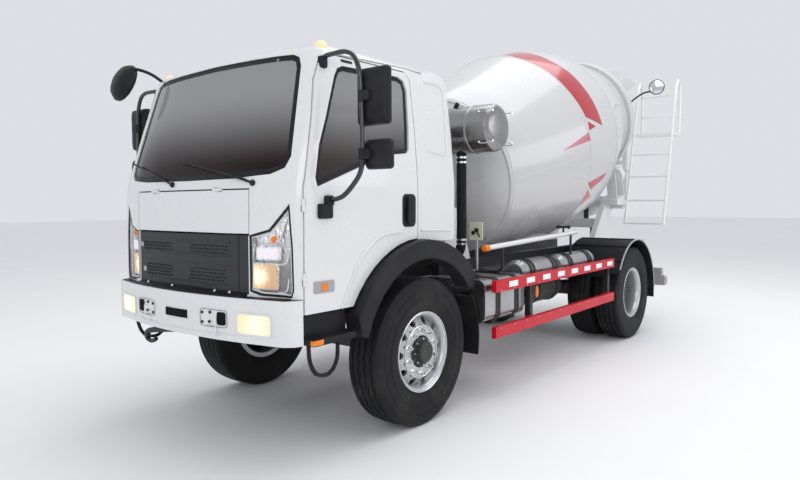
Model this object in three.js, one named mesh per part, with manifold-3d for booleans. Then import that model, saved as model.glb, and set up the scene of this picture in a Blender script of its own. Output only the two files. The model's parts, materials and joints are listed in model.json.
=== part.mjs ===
// A two-axle concrete mixer truck: cab-over cab, ladder frame, tilted drum, hopper, chute and ladder.
// Lengths are millimetres. x points to the truck's left, y to its rear, z up.
// Pieces are laid out from the front axle line (y = 0) and the ground (z = 0); the whole truck is
// then slid along y so that its origin is under the middle of its box.
import * as THREE from 'three';
import { mergeVertices } from 'three/addons/utils/BufferGeometryUtils.js';
import Module from 'manifold-3d';

// ---------------------------------------------------------------- driving dimensions

const RAD = Math.PI / 180;

const WHEEL_BASE = 3775;
const WHEEL_SEGMENTS = 20;
const FIT_GAP = 0.3; // between pieces that touch
const RUN_GAP = 8; // between pieces that move past each other

const TYRE = { radius: 515, halfWidth: 133, beadRadius: 258, beadHalf: 100 };
const RIM = {
  lipRadius: 281, lipWidth: 9, barrel: 12, bite: 2, hubRadius: 104, frontPlate: 6, rearPlate: 14, room: 3,
};
const FRONT_WHEEL_X = 849;
const REAR_OUTER_X = 987;
const DUAL_SPACING = 322;
const KINGPIN = { x: 705, radius: 36, bossHeight: 96, lugHeight: 34 };
const BRAKE = { radius: 180, inner: 748, outer: 820 };

// Lengths along the rear of the truck are given from the rear axle, so that they follow the wheel base.
const behindAxle = (y) => WHEEL_BASE + y;

const FRAME = { inner: 330, outer: 400, bottom: 690, top: 920, front: -1010, rear: behindAxle(1095) };
const SUBFRAME = { front: 980, top: 1030 };
const CROSS_MEMBERS = [-960, 780, 1900, 3000, behindAxle(825)];
const WELD = 5; // how far a welded part reaches into the one that carries it
const CLEAR = 1; // how far a cutter reaches past what it cuts
const PIN_SEGMENTS = 12;
const SPRING = { thick: 30, halfLength: 600, camber: 70, clampHalf: 90 };
const PROPSHAFT_SEAT = 1.4; // how far the shaft's end stands behind the tip of the axle's nose
const BANJO = { front: 230, rear: 165 };
const ENGINE = {
  half: 285, front: -330, rear: 620, round: 60,
  bottom: TYRE.radius + 125, top: TYRE.radius + 660, // under the cab's arch, which follows the tyre
};
const PROPSHAFT = { frontZ: ENGINE.bottom + 155, rearLift: 20, radius: 48 };

const CAB = {
  // each row: height, half width, front face at the centre line, sweep back to the corner, rear face
  sections: [
    [915, 943, -1222, 95, 450],
    [1365, 948, -1218, 95, 450],
    [1640, 950, -1212, 98, 450],
    [1690, 949, -1204, 98, 450],
    [2050, 922, -1092, 90, 446],
    [2400, 878, -982, 80, 440],
    [2450, 862, -958, 76, 430],
    [2492, 815, -880, 60, 392],
    [2518, 700, -740, 40, 300],
  ],
  frontCorner: 75,
  rearCorner: 60,
  wall: 42,
  rearBottom: 1275,
  chin: { y: -1084, z: 1008 },
  railRecess: { half: FRAME.outer + 20, rear: -600, top: 930 },
};
const CAB_HINGE = { y: -1238, z: 975, pin: 10, lug: [352, 378], cheeks: [[334, 350], [380, 396]] };
const ARCH_RADIUS = 780;
const ARCH_SEGMENTS = 48;
const FLARE = { inner: 648, from: 162, to: 37, insideX: 880, outsideX: 1012, endTaper: 70 };
const DOOR = { thick: 54, inside: 800, front: -1075, rear: -40, bottom: 918, top: 2424, archGap: 12 };
const DOOR_HINGE = { x: 944, y: -1079, radius: 10, pin: 4, heights: [1080, 1500], length: 36, room: 5 };
const WINDOW_GLASS = { recess: 14, thick: 6 };
const WINDSCREEN = { recess: 8, thick: 8 };
const REAR_WINDOW = { half: 560, bottom: 1790, top: 2200 };
const FRONT_PANEL = { half: 600, bottom: 1374, top: 1628, gap: RUN_GAP };
const PANEL_HINGE = { y: -1214, z: 1632, radius: 9, pin: 4, room: 5, inner: 300, split: 340, outer: 380 };
const GRILLE = { half: 600, bottom: 1022, top: 1364, recess: 10, thick: 26 };
const LAMP = { inner: 606, recess: 4, thick: 36, rear: -1092 };
const BUMPER = { bottom: 745, top: 1003, front: -1300, half: 945, sweep: 95, rear: -1094, wall: 14 };

const DRUM = {
  frontY: behindAxle(-2155), frontZ: 1790, tilt: 15, wall: 12, headRadius: 763, bodyRadius: 1029,
};
const DRUM_STATIONS = { cone: 1143, body: 1883, ring: 3105, ringWidth: 130, mouth: 3600 };
const DRUM_SEGMENTS = 32;
// the middle of the drum's mouth, which all that fills and empties the drum is set by
const MOUTH_Y = Math.round(DRUM.frontY + DRUM_STATIONS.mouth * Math.cos(DRUM.tilt * RAD));
const MOUTH_Z = Math.round(DRUM.frontZ + DRUM_STATIONS.mouth * Math.sin(DRUM.tilt * RAD));
const RING_RADIUS = 762;
const RING_SEAT_RADIUS = 712;
const MOUTH_RADIUS = 455;
const ROLLER = { radius: 120, length: 110, angle: 32, gap: 1 };
const GEARBOX = { radius: 170, length: 300, flange: 205, gap: FIT_GAP };

const GUARD = {
  x: 1120, thick: 40, front: 720, rear: behindAxle(-615), upper: [855, 945], lower: [500, 588],
  posts: [1360, behindAxle(-685)],
};
const TANK = { x0: FRAME.outer + 70, x1: 1040, y0: 690, y1: 1300, z0: 615, z1: 945, round: 60 };
const AIR_TANK = { x: 850, z: 925, radius: 112, spans: [[1480, 2180], [2270, 3060]] };
const MUFFLER = { x: FRAME.outer + 210, z: 705, radius: 160, y0: 1700, y1: 2640 };
const BATTERY = { x0: FRAME.outer + 70, x1: 1020, y0: 700, y1: 1310, z0: 600, z1: 930 };
const AIR_CLEANER = { y: 1000, z: 2145, radius: 203, x0: 430, x1: 1035, pipeX: 620, pipeRadius: 42 };
const FRONT_GUARD = { inner: 658, thick: 14, top: 29, bottom: -12, stay: [740, 780] };
const REAR_GUARD = { inner: 592, thick: 14, x0: 505, x1: 1150, flapBottom: 400 };
const LADDER = {
  x0: 600, x1: 1090, bottomY: MOUTH_Y - 197, bottomZ: 1250, topY: MOUTH_Y + 303, topZ: 3120, tube: 17,
};
const PLATFORM = { z: 2440, depth: 300, thick: 30 };
const HOPPER = {
  half: 520, front: MOUTH_Y - 132, rear: MOUTH_Y + 403, top: MOUTH_Z + 548, rearDrop: 110, wall: 10,
};
const HOPPER_THROAT = { half: 190, front: MOUTH_Y + 1, rear: MOUTH_Y + 243, z: MOUTH_Z + 88 };
const TROUGH = {
  half: 420, front: MOUTH_Y + 53, rear: MOUTH_Y + 458, wall: 10,
  frontTop: MOUTH_Z - 597, rearTop: MOUTH_Z - 392,
  outlet: [200, MOUTH_Y + 133, MOUTH_Y + 333, MOUTH_Z - 872], // half width, front, rear, height
};
const CHUTE = {
  y: MOUTH_Y + 233, pivotZ: 1590, length: 1130, radius: 215, wall: 8, slope: 24, stowTurn: 90, pin: 19,
};
const CHUTE_FORK = { drop: 380, inner: 236, outer: 270, half: 30 };
const CHUTE_MOUNT = { half: 70, front: behindAxle(825), bottom: 840, top: 890 };
const REAR_POST = {
  x0: 505, x1: 560, y0: MOUTH_Y - 37, y1: MOUTH_Y + 18, bottom: 1450, top: MOUTH_Z - 22,
};
const UNDERRUN = { y0: FRAME.rear + FIT_GAP, y1: FRAME.rear + 85, z0: 480, z1: 600, half: 1130 };

// ---------------------------------------------------------------- solids from three.js shapes

const wasm = await Module();
wasm.setup();

function solid(geometry) {
  const bare = geometry.index ? geometry.clone() : geometry;
  for (const name of ['normal', 'uv']) bare.deleteAttribute(name);
  const merged = mergeVertices(bare, 1e-3);
  return new wasm.Manifold(new wasm.Mesh({
    numProp: 3,
    vertProperties: new Float32Array(merged.attributes.position.array),
    triVerts: new Uint32Array(merged.index.array),
  }));
}

function geometryOf(part) {
  const mesh = part.getMesh();
  const geometry = new THREE.BufferGeometry();
  geometry.setAttribute('position', new THREE.BufferAttribute(mesh.vertProperties, 3));
  geometry.setIndex(new THREE.BufferAttribute(mesh.triVerts, 1));
  geometry.computeVertexNormals();
  return geometry;
}

// The same solid on the other side of the truck.
function mirrored(part) {
  const mesh = part.getMesh();
  const points = mesh.vertProperties.map((value, i) => (i % 3 === 0 ? -value : value));
  const corners = mesh.triVerts.slice();
  for (let i = 0; i < corners.length; i += 3) {
    corners[i + 1] = mesh.triVerts[i + 2];
    corners[i + 2] = mesh.triVerts[i + 1];
  }
  return new wasm.Manifold(new wasm.Mesh({ numProp: 3, vertProperties: points, triVerts: corners }));
}

const join = (parts) => parts.reduce((whole, part) => whole.add(part));

function box(x0, x1, y0, y1, z0, z1) {
  const geometry = new THREE.BoxGeometry(x1 - x0, y1 - y0, z1 - z0);
  return solid(geometry.translate((x0 + x1) / 2, (y0 + y1) / 2, (z0 + z1) / 2));
}

function shapeOf(outline) {
  return new THREE.Shape(outline.map(([a, b]) => new THREE.Vector2(a, b)));
}

const ALONG = {
  x: new THREE.Matrix4().makeBasis(
    new THREE.Vector3(0, 1, 0), new THREE.Vector3(0, 0, 1), new THREE.Vector3(1, 0, 0)),
  y: new THREE.Matrix4().makeBasis(
    new THREE.Vector3(1, 0, 0), new THREE.Vector3(0, 0, 1), new THREE.Vector3(0, -1, 0)),
  z: new THREE.Matrix4(),
};

// An outline pushed along one axis: [y, z] pairs along x, [x, z] along y, [x, y] along z.
function prism(axis, outline, from, to) {
  const geometry = new THREE.ExtrudeGeometry(shapeOf(outline), { depth: to - from, bevelEnabled: false });
  const start = axis === 'y' ? -to : from;
  return solid(geometry.translate(0, 0, start).applyMatrix4(ALONG[axis]));
}

// A closed profile of [radius, distance] pairs turned about the x or the y axis.
function turned(axis, profile, segments, at = [0, 0, 0]) {
  const points = profile.map(([radius, along]) => new THREE.Vector2(radius, along));
  if (THREE.ShapeUtils.area(points) < 0) points.reverse();
  if (points[0].x > 0) points.push(points[0].clone());
  const geometry = new THREE.LatheGeometry(points, segments);
  if (axis === 'x') geometry.rotateZ(-Math.PI / 2);
  return solid(geometry.translate(...at));
}

function disc(axis, radius, from, to, segments, at = [0, 0, 0]) {
  return turned(axis, [[0, from], [radius, from], [radius, to], [0, to]], segments, at);
}

// A round bar between two points.
function rod(from, to, radius, segments = 10) {
  const a = new THREE.Vector3(...from);
  const b = new THREE.Vector3(...to);
  const geometry = new THREE.CylinderGeometry(radius, radius, a.distanceTo(b), segments);
  const turn = new THREE.Quaternion()
    .setFromUnitVectors(new THREE.Vector3(0, 1, 0), b.clone().sub(a).normalize());
  geometry.applyQuaternion(turn);
  const middle = a.add(b).multiplyScalar(0.5);
  return solid(geometry.translate(middle.x, middle.y, middle.z));
}

// A bent round bar through the points given.
function bentRod(points, radius, steps, segments = 8) {
  const path = new THREE.CatmullRomCurve3(points.map((p) => new THREE.Vector3(...p)), false, 'centripetal');
  const ring = Array.from({ length: segments }, (_, i) => [
    radius * Math.cos((i * 2 * Math.PI) / segments), radius * Math.sin((i * 2 * Math.PI) / segments)]);
  return solid(new THREE.ExtrudeGeometry(shapeOf(ring), { extrudePath: path, steps }));
}

// A skin through rings of points, closed at both ends.
function loft(rings) {
  const count = rings[0].length;
  const points = [...rings.flat(), centreOf(rings[0]), centreOf(rings[rings.length - 1])];
  const low = rings.length * count;
  const corners = [];
  for (let i = 0; i < count; i += 1) {
    const j = (i + 1) % count;
    corners.push(low, j, i);
    corners.push(low + 1, low - count + i, low - count + j);
    for (let k = 0; k < rings.length - 1; k += 1) {
      const [a, b] = [k * count + i, k * count + j];
      corners.push(a, b, b + count, a, b + count, a + count);
    }
  }
  const geometry = new THREE.BufferGeometry();
  geometry.setAttribute('position', new THREE.Float32BufferAttribute(points.flat(), 3));
  geometry.setIndex(corners);
  return solid(geometry);
}

function centreOf(ring) {
  return [0, 1, 2].map((axis) => ring.reduce((sum, p) => sum + p[axis], 0) / ring.length);
}

function onCircle(cy, cz, radius, degrees) {
  return [cy + radius * Math.cos(degrees * RAD), cz + radius * Math.sin(degrees * RAD)];
}

function arc(cy, cz, radius, from, to, steps) {
  const turn = (to - from) / steps;
  return Array.from({ length: steps + 1 }, (_, i) => onCircle(cy, cz, radius, from + turn * i));
}

function roundedBox(x0, x1, y0, y1, z0, z1, round) {
  const corner = (x, z, start) => arc(x, z, round, start, start + 90, 3);
  const outline = [
    ...corner(x1 - round, z0 + round, -90), ...corner(x1 - round, z1 - round, 0),
    ...corner(x0 + round, z1 - round, 90), ...corner(x0 + round, z0 + round, 180)];
  return prism('y', outline, y0, y1);
}

// ---------------------------------------------------------------- materials

function finish(color, roughness, metalness) {
  return new THREE.MeshStandardMaterial({ color, roughness, metalness });
}

const PAINT_WHITE = finish(0xeeeeee, 0.3, 0);
const DRUM_GREY = finish(0xd8d8d8, 0.35, 0);
const BLACK_PLASTIC = finish(0x1d1d1f, 0.6, 0);
const BLACK_STEEL = finish(0x141414, 0.5, 0.3);
const RUBBER = finish(0x1a1a1b, 0.85, 0);
const TANK_METAL = finish(0xb5b7b9, 0.35, 0.9);
const GLASS = finish(0x2b2724, 0.1, 0);
const LAMP_CLEAR = finish(0xdfe4e8, 0.1, 0.2);
const GUARD_RED = finish(0xc8102e, 0.4, 0);
const CLOTH = finish(0x3b3b3d, 0.9, 0);
const TRIM_GREY = finish(0x4a4b4d, 0.7, 0);

const truck = new THREE.Group();

function addPiece(parent, name, part, material) {
  const mesh = new THREE.Mesh(geometryOf(part), material);
  mesh.name = name;
  parent.add(mesh);
  return mesh;
}

function addPair(name, left, material) {
  addPiece(truck, `${name}_left`, left, material);
  addPiece(truck, `${name}_right`, mirrored(left), material);
}

// ---------------------------------------------------------------- cab body

// Half of a level slice of the cab, from the centre of its front to the centre of its rear.
function cabRing([z, half, front, sweep, rear], inset) {
  const width = half - inset;
  const round = CAB.frontCorner;
  const edge = width - round;
  const points = [];
  for (let i = 0; i <= 4; i += 1) {
    const x = (edge * i) / 4;
    points.push([x, front + inset + sweep * (x / edge) ** 4, z]);
  }
  const corner = front + inset + sweep;
  for (const degrees of [25, 50, 70, 90]) {
    const angle = degrees * RAD;
    points.push([edge + round * Math.sin(angle), corner + round * (1 - Math.cos(angle)), z]);
  }
  const back = rear - inset;
  for (const degrees of [0, 45, 90]) {
    const angle = degrees * RAD;
    const bend = CAB.rearCorner;
    points.push([width - bend * (1 - Math.cos(angle)), back - bend * (1 - Math.sin(angle)), z]);
  }
  points.push([0, back, z]);
  const otherSide = points.slice(1, -1).reverse().map(([x, y, h]) => [-x, y, h]);
  return [...points, ...otherSide];
}

// The cab's outside shape, shrunk on all sides by the inset.
function cabForm(inset) {
  const rows = CAB.sections.map(([z, ...rest]) => [z, ...rest]);
  rows[0][0] += inset;
  rows[rows.length - 1][0] -= inset;
  rows[rows.length - 2][0] -= inset * 0.8;
  rows[rows.length - 3][0] -= inset * 0.5;
  return loft(rows.map((row) => cabRing(row, inset)));
}

function archCut(radius, half) {
  const reach = radius / Math.cos(Math.PI / ARCH_SEGMENTS);
  return disc('x', reach, -half, half, ARCH_SEGMENTS, [0, 0, TYRE.radius]);
}

const WINDSCREEN_HALF = [
  [0, 1690], [480, 1695], [740, 1714], [822, 1748], [846, 1812], [838, 1880],
  [776, 2350], [752, 2404], [704, 2426], [0, 2440]];

function symmetric(half) {
  const back = half.slice(1, -1).reverse().map(([x, z]) => [-x, z]);
  return [...half, ...back];
}

// The same outline, drawn in towards its middle by a fixed distance.
function shrunk(outline, by) {
  const cx = outline.reduce((sum, p) => sum + p[0], 0) / outline.length;
  const cz = outline.reduce((sum, p) => sum + p[1], 0) / outline.length;
  const reach = Math.min(...outline.map(([a, b]) => Math.hypot(a - cx, b - cz)));
  const share = 1 - by / reach;
  return outline.map(([a, b]) => [cx + (a - cx) * share, cz + (b - cz) * share]);
}

const WINDOW = [
  [-975, 1640], [-590, 1772], [-300, 1858], [-135, 1876], [-113, 1900], [-78, 2300],
  [-100, 2362], [-160, 2384], [-690, 2372], [-738, 2350], [-770, 2300], [-945, 1880], [-990, 1690]];

function doorOutline(gap) {
  const { front, rear, bottom, top } = DOOR;
  const radius = ARCH_RADIUS + DOOR.archGap * (1 - gap / RUN_GAP);
  const dy = Math.sqrt(radius ** 2 - (bottom - gap - TYRE.radius) ** 2);
  const startAngle = 180 - Math.asin((bottom - gap - TYRE.radius) / radius) / RAD;
  const endAngle = Math.acos((rear + gap) / radius) / RAD;
  const sill = arc(0, TYRE.radius, radius, startAngle, endAngle, 8);
  return [
    [front - gap, bottom - gap], [-dy, bottom - gap], ...sill.slice(1),
    [rear + gap, top - 45], [rear - 40, top + gap], [front + 275 - gap, top + gap],
    [front + 205 - gap, top - 45], [front + 160 - gap, top - 160], [front + 4 - gap, 1640]];
}

// What is cut away under the cab, grown by the inset: wheel arches, rear underside, chin and rail recess.
function underside(inset) {
  const { chin, railRecess, rearBottom } = CAB;
  return join([
    archCut(ARCH_RADIUS + inset, 1000),
    box(-1000, 1000, 0, 600, 900, rearBottom + inset),
    box(-1000, 1000, -1400, chin.y + inset, 900, chin.z + inset),
    box(-railRecess.half - inset, railRecess.half + inset,
      -1400, railRecess.rear, 900, railRecess.top + inset)]);
}

const LAMP_OUTLINE = [
  [LAMP.inner, 1040], [690, 1018], [886, 1014], [902, 1060], [896, 1300], [872, 1548],
  [830, 1500], [740, 1400], [LAMP.inner, 1365]];

function panelOpening() {
  const { half, top, gap } = FRONT_PANEL;
  return box(-half - gap, half + gap, -1400, -1050, GRILLE.top - CLEAR, top + gap);
}

function makeCabShell() {
  const outer = cabForm(0).subtract(underside(FIT_GAP));
  const room = cabForm(CAB.wall).subtract(underside(CAB.wall));
  const doorway = prism('x', doorOutline(RUN_GAP), DOOR.inside - RUN_GAP, 1100);
  const lampHole = prism('y', LAMP_OUTLINE, -1400, LAMP.rear);
  const openings = join([
    doorway, mirrored(doorway), lampHole, mirrored(lampHole),
    prism('y', symmetric(WINDSCREEN_HALF), -1400, -700),
    panelOpening(),
    box(-GRILLE.half, GRILLE.half, -1400, -1050, GRILLE.bottom, GRILLE.top),
    box(-REAR_WINDOW.half, REAR_WINDOW.half, 300, 600, REAR_WINDOW.bottom, REAR_WINDOW.top)]);
  const { inner, split, outer: end, radius, pin } = PANEL_HINGE;
  const notch = panelKnuckle(radius + PANEL_HINGE.room, inner - FIT_GAP, split + FIT_GAP);
  const fixings = join([
    cabHingeLug(), panelKnuckle(radius, split + FIT_GAP, end), panelKnuckle(pin, inner + WELD, end - WELD)]);
  const hinge = DOOR_HINGE;
  const hingeRoom = hingeBarrels(hinge.radius + hinge.room, -FIT_GAP, hinge.length + FIT_GAP);
  const hingeHalf = join([
    hingeBarrels(hinge.radius, hinge.length + FIT_GAP, 2 * hinge.length),
    hingeBarrels(hinge.pin, WELD, hinge.length + WELD)]);
  const shell = outer.subtract(room).subtract(openings).subtract(bothSides(notch.add(hingeRoom)));
  return shell.add(bothSides(fixings.add(hingeHalf)));
}

// A piece cut from the cab's skin between two depths, within one outline.
function skinPiece(cutter, outside, inside) {
  return cabForm(outside).subtract(cabForm(inside)).intersect(cutter);
}

const bothSides = (part) => join([part, mirrored(part)]);

function panelKnuckle(radius, from, to) {
  const reach = radius / Math.cos(Math.PI / PIN_SEGMENTS);
  return disc('x', reach, from, to, PIN_SEGMENTS, [0, PANEL_HINGE.y, PANEL_HINGE.z]);
}

function makeFrontPanel() {
  const { half, bottom, top } = FRONT_PANEL;
  const skin = skinPiece(box(-half, half, -1400, -1050, bottom, top), 0, 30);
  const { inner, split, outer } = PANEL_HINGE;
  const knuckle = panelKnuckle(PANEL_HINGE.radius, inner, split);
  const room = panelKnuckle(PANEL_HINGE.radius + PANEL_HINGE.room, split - FIT_GAP, outer + FIT_GAP);
  return join([skin.subtract(bothSides(room)), bothSides(knuckle)])
    .subtract(bothSides(panelKnuckle(PANEL_HINGE.pin + FIT_GAP, inner - CLEAR, split + CLEAR)));
}

function makeGrille() {
  const { half, bottom, top, recess, thick } = GRILLE;
  const hole = box(-half + FIT_GAP, half - FIT_GAP, -1400, -1050, bottom + FIT_GAP, top - FIT_GAP);
  return skinPiece(hole, recess, recess + thick);
}

function makeHeadlight() {
  const bezel = prism('y', shrunk(LAMP_OUTLINE, FIT_GAP * 2), -1400, LAMP.rear - FIT_GAP);
  return skinPiece(bezel, LAMP.recess, LAMP.recess + LAMP.thick);
}

function makeWindscreen() {
  const { recess, thick } = WINDSCREEN;
  const pane = prism('y', shrunk(symmetric(WINDSCREEN_HALF), FIT_GAP * 2), -1400, -700);
  return skinPiece(pane, recess, recess + thick);
}

function makeFlare() {
  const { inner, from, to, insideX, outsideX, endTaper } = FLARE;
  const outline = [
    ...arc(0, TYRE.radius, ARCH_RADIUS, to + 2, from - 8, 14),
    onCircle(0, TYRE.radius, ARCH_RADIUS - endTaper, from),
    ...arc(0, TYRE.radius, inner, from, to, 14),
    onCircle(0, TYRE.radius, inner + 60, to - 3)];
  return prism('x', outline, insideX, outsideX);
}

// ---------------------------------------------------------------- doors, glass and mirrors

// The upper (cab) or lower (door) halves of the two door hinges, as upright discs.
function hingeBarrels(radius, from, to) {
  const { x, y, heights } = DOOR_HINGE;
  const reach = radius / Math.cos(Math.PI / PIN_SEGMENTS);
  return join(heights.map((z) => rod([x, y, z + from], [x, y, z + to], reach, PIN_SEGMENTS)));
}

function makeDoor() {
  const { inside, thick, front, rear, bottom } = DOOR;
  const panel = skinPiece(prism('x', doorOutline(0), inside, 1100), 0, thick);
  const [, sillWidth] = CAB.sections[0];
  const sill = box(
    inside - CLEAR, sillWidth - thick, front + thick, rear + CLEAR, bottom - CLEAR, bottom + thick + CLEAR);
  const { radius, pin, length, room } = DOOR_HINGE;
  const cuts = join([
    prism('x', WINDOW, inside, 1100), sill,
    hingeBarrels(radius + room, length, 2 * length + 2 * FIT_GAP)]);
  const pinRoom = hingeBarrels(pin + FIT_GAP, -CLEAR, length + CLEAR);
  const barrels = hingeBarrels(radius, 0, length).subtract(pinRoom);
  return panel.subtract(cuts).add(barrels);
}

function makeDoorGlass() {
  const { recess, thick } = WINDOW_GLASS;
  return skinPiece(prism('x', shrunk(WINDOW, FIT_GAP * 2), DOOR.inside, 1100), recess, recess + thick);
}

function makeDoorMirror() {
  const arm = bentRod([
    [868, -765, 2394], [1010, -820, 2410], [1110, -845, 2396], [1172, -850, 2320],
    [1186, -850, 2160], [1186, -850, 1900], [1180, -852, 1780], [1120, -875, 1660],
    [1050, -905, 1585], [960, -935, 1566]], 14, 18, 6);
  const heads = [[1975, 2300], [1722, 1905]].map(([low, high]) => (
    roundedBox(1128, 1360, -842, -775, low, high, 24)));
  const brackets = [
    box(850, 905, -795, -735, 2376, 2410), box(925, 1005, -985, -905, 1480, 1610)];
  return join([arm, ...heads, ...brackets]).subtract(cabForm(-FIT_GAP));
}

function makeKerbMirror() {
  const arm = bentRod([
    [-872, -640, 2404], [-935, -720, 2450], [-985, -850, 2540], [-1050, -960, 2570], [-1120, -1005, 2545]],
  12, 12, 6);
  const bowl = turned('y', [[0, -60], [70, -52], [120, -30], [148, 6], [148, 26], [0, 26]], 16);
  const head = solid(geometryOf(bowl).rotateX(-20 * RAD).translate(-1150, -985, 2480));
  return join([arm, head]).subtract(cabForm(-FIT_GAP));
}

// ---------------------------------------------------------------- inside the cab

function makeDashboard() {
  const body = prism('x', [
    [-1200, 1400], [-890, 1440], [-850, 1560], [-880, 1640], [-960, 1668], [-1200, 1676]], -790, 790);
  const trimmed = body.intersect(cabForm(CAB.wall + FIT_GAP));
  const centre = [430, -690, 1700];
  const lean = 35 * RAD;
  const ring = solid(new THREE.TorusGeometry(212, 15, 6, 20).rotateX(lean).translate(...centre));
  const axle = [0, Math.sin(lean), -Math.cos(lean)];
  const foot = [430, centre[1] - 330 * axle[1], centre[2] + 330 * axle[2] + 60];
  const spokes = [[-205, 0], [205, 0]].map(([dx]) => rod(
    centre, [centre[0] + dx, centre[1], centre[2]], 11, 6));
  return join([trimmed, ring, ...spokes, rod(centre, foot, 32, 10)]);
}

function makeSeat(x0, x1) {
  const overArch = TYRE.radius + (ARCH_RADIUS + CAB.wall) / Math.cos(Math.PI / ARCH_SEGMENTS);
  const floor = Math.max(overArch, CAB.rearBottom + CAB.wall) + FIT_GAP;
  return prism('x', [
    [10, floor], [330, floor], [340, 1560], [392, 2180], [380, 2260], [320, 2262], [272, 2190],
    [180, 1660], [-180, 1650], [-220, 1610], [-200, 1520], [10, 1500]], x0, x1);
}

// ---------------------------------------------------------------- frame and running gear

function leafSpring(y) {
  const { halfLength, camber, thick, clampHalf } = SPRING;
  const seatZ = FRAME.bottom - camber - thick;
  const low = [];
  for (let i = -6; i <= 6; i += 1) {
    const t = i / 6;
    low.push([y + halfLength * t, seatZ + camber * t * t]);
  }
  const high = low.slice().reverse().map(([a, b]) => [a, b + thick - FIT_GAP]);
  const leaf = prism('x', [...low, ...high], FRAME.inner, FRAME.outer);
  const clamp = box(FRAME.inner, FRAME.outer, y - clampHalf, y + clampHalf, TYRE.radius, seatZ + WELD);
  return leaf.add(clamp);
}

// The fork on the front end of a frame rail that carries one of the cab's two hinge lugs.
function cabHingeFork() {
  const { y, z, pin, cheeks } = CAB_HINGE;
  const side = [
    [y - 16, z - 10], [y - 16, z + 10], [y, z + 18], [y + 18, z + 14], [y + 130, z - 60],
    [FRAME.front + 30, z - 60], [FRAME.front + 30, z - 85], [y + 90, z - 85]];
  const plates = cheeks.map(([from, to]) => prism('x', side, from, to));
  return join([...plates, disc('x', pin, cheeks[0][0] + WELD, cheeks[1][1] - WELD, PIN_SEGMENTS, [0, y, z])]);
}

function cabHingeLug() {
  const { y, z, pin, lug } = CAB_HINGE;
  const reach = (pin + FIT_GAP) / Math.cos(Math.PI / PIN_SEGMENTS);
  const hole = disc('x', reach, lug[0] - CLEAR, lug[1] + CLEAR, PIN_SEGMENTS, [0, y, z]);
  const side = [
    [y - 16, z - 10], [y - 16, z + 12], [y + 20, CAB.chin.z], [y + 20, CAB.chin.z + 4],
    [y + 55, CAB.chin.z + 4], [y + 55, CAB.chin.z - 8], [y + 22, z - 16], [y, z - 18]];
  return prism('x', side, lug[0], lug[1]).subtract(hole);
}

function makeFrame() {
  const { inner, outer, bottom, top, front, rear } = FRAME;
  const rail = box(inner, outer, front, rear, bottom, top);
  const upper = box(inner, outer, SUBFRAME.front, rear, top - CLEAR, SUBFRAME.top);
  const reach = inner + WELD;
  const rungs = CROSS_MEMBERS.map((y) => box(-reach, reach, y - 45, y + 45, top - 68, top - 18));
  const brackets = [
    box(outer - WELD, TANK.x0 - FIT_GAP, TANK.y0 + 120, TANK.y0 + 200, 700, 900),
    box(outer - WELD, TANK.x0 - FIT_GAP, TANK.y1 - 200, TANK.y1 - 120, 700, 900)];
  const hanger = box(inner, outer, UNDERRUN.y0 - 90, rear, UNDERRUN.z0, bottom + WELD);
  const half = join([rail, upper, ...brackets, hanger, cabHingeFork()]);
  const mount = CHUTE_MOUNT;
  const tongue = box(-mount.half, mount.half, mount.front, CHUTE.y + 60, mount.bottom, mount.top);
  return join([half, mirrored(half), ...rungs, tongue]);
}

function makeFrontAxle() {
  const z = TYRE.radius;
  const beam = box(-KINGPIN.x, KINGPIN.x, -40, 40, z - 48, z + 20);
  const half = KINGPIN.bossHeight / 2;
  const eye = rod([KINGPIN.x, 0, z - half], [KINGPIN.x, 0, z + half], KINGPIN.radius, 16);
  const spring = leafSpring(0);
  return join([beam, eye, mirrored(eye), spring, mirrored(spring)]);
}

function makeRearAxle() {
  const z = TYRE.radius;
  const end = REAR_OUTER_X - DUAL_SPACING / 2 - RIM.rearPlate - FIT_GAP;
  const tube = disc('x', 85, -end, end, 16, [0, WHEEL_BASE, z]);
  const banjo = turned('y', [
    [0, -BANJO.front], [110, -215], [170, -60], [190, 40], [120, 150], [0, BANJO.rear]],
  20, [0, WHEEL_BASE, z]);
  const spring = leafSpring(WHEEL_BASE);
  return join([tube, banjo, spring, mirrored(spring)]);
}

function makeKnuckle() {
  const z = TYRE.radius;
  const half = KINGPIN.bossHeight / 2 + FIT_GAP;
  const lug = (low) => rod([KINGPIN.x, 0, low], [KINGPIN.x, 0, low + KINGPIN.lugHeight], KINGPIN.radius, 16)
    .add(box(KINGPIN.x, BRAKE.inner + WELD, -30, 30, low, low + KINGPIN.lugHeight));
  const drum = disc('x', BRAKE.radius, BRAKE.inner, BRAKE.outer, 28, [0, 0, z]);
  const hub = disc('x', 90, BRAKE.outer - WELD, FRONT_WHEEL_X - RIM.frontPlate - FIT_GAP, 16, [0, 0, z]);
  return join([lug(z + half), lug(z - half - KINGPIN.lugHeight), drum, hub]);
}

function tyreAt(x) {
  const { radius, halfWidth, beadRadius, beadHalf } = TYRE;
  const side = [
    [beadRadius, beadHalf], [beadRadius + 28, beadHalf + 2], [beadRadius + 110, halfWidth],
    [radius - 34, halfWidth - 8], [radius, halfWidth - 34]];
  const other = side.map(([r, d]) => [r, -d]).reverse();
  return turned('x', [...other, ...side].map(([r, d]) => [r, d + x]), WHEEL_SEGMENTS);
}

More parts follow.
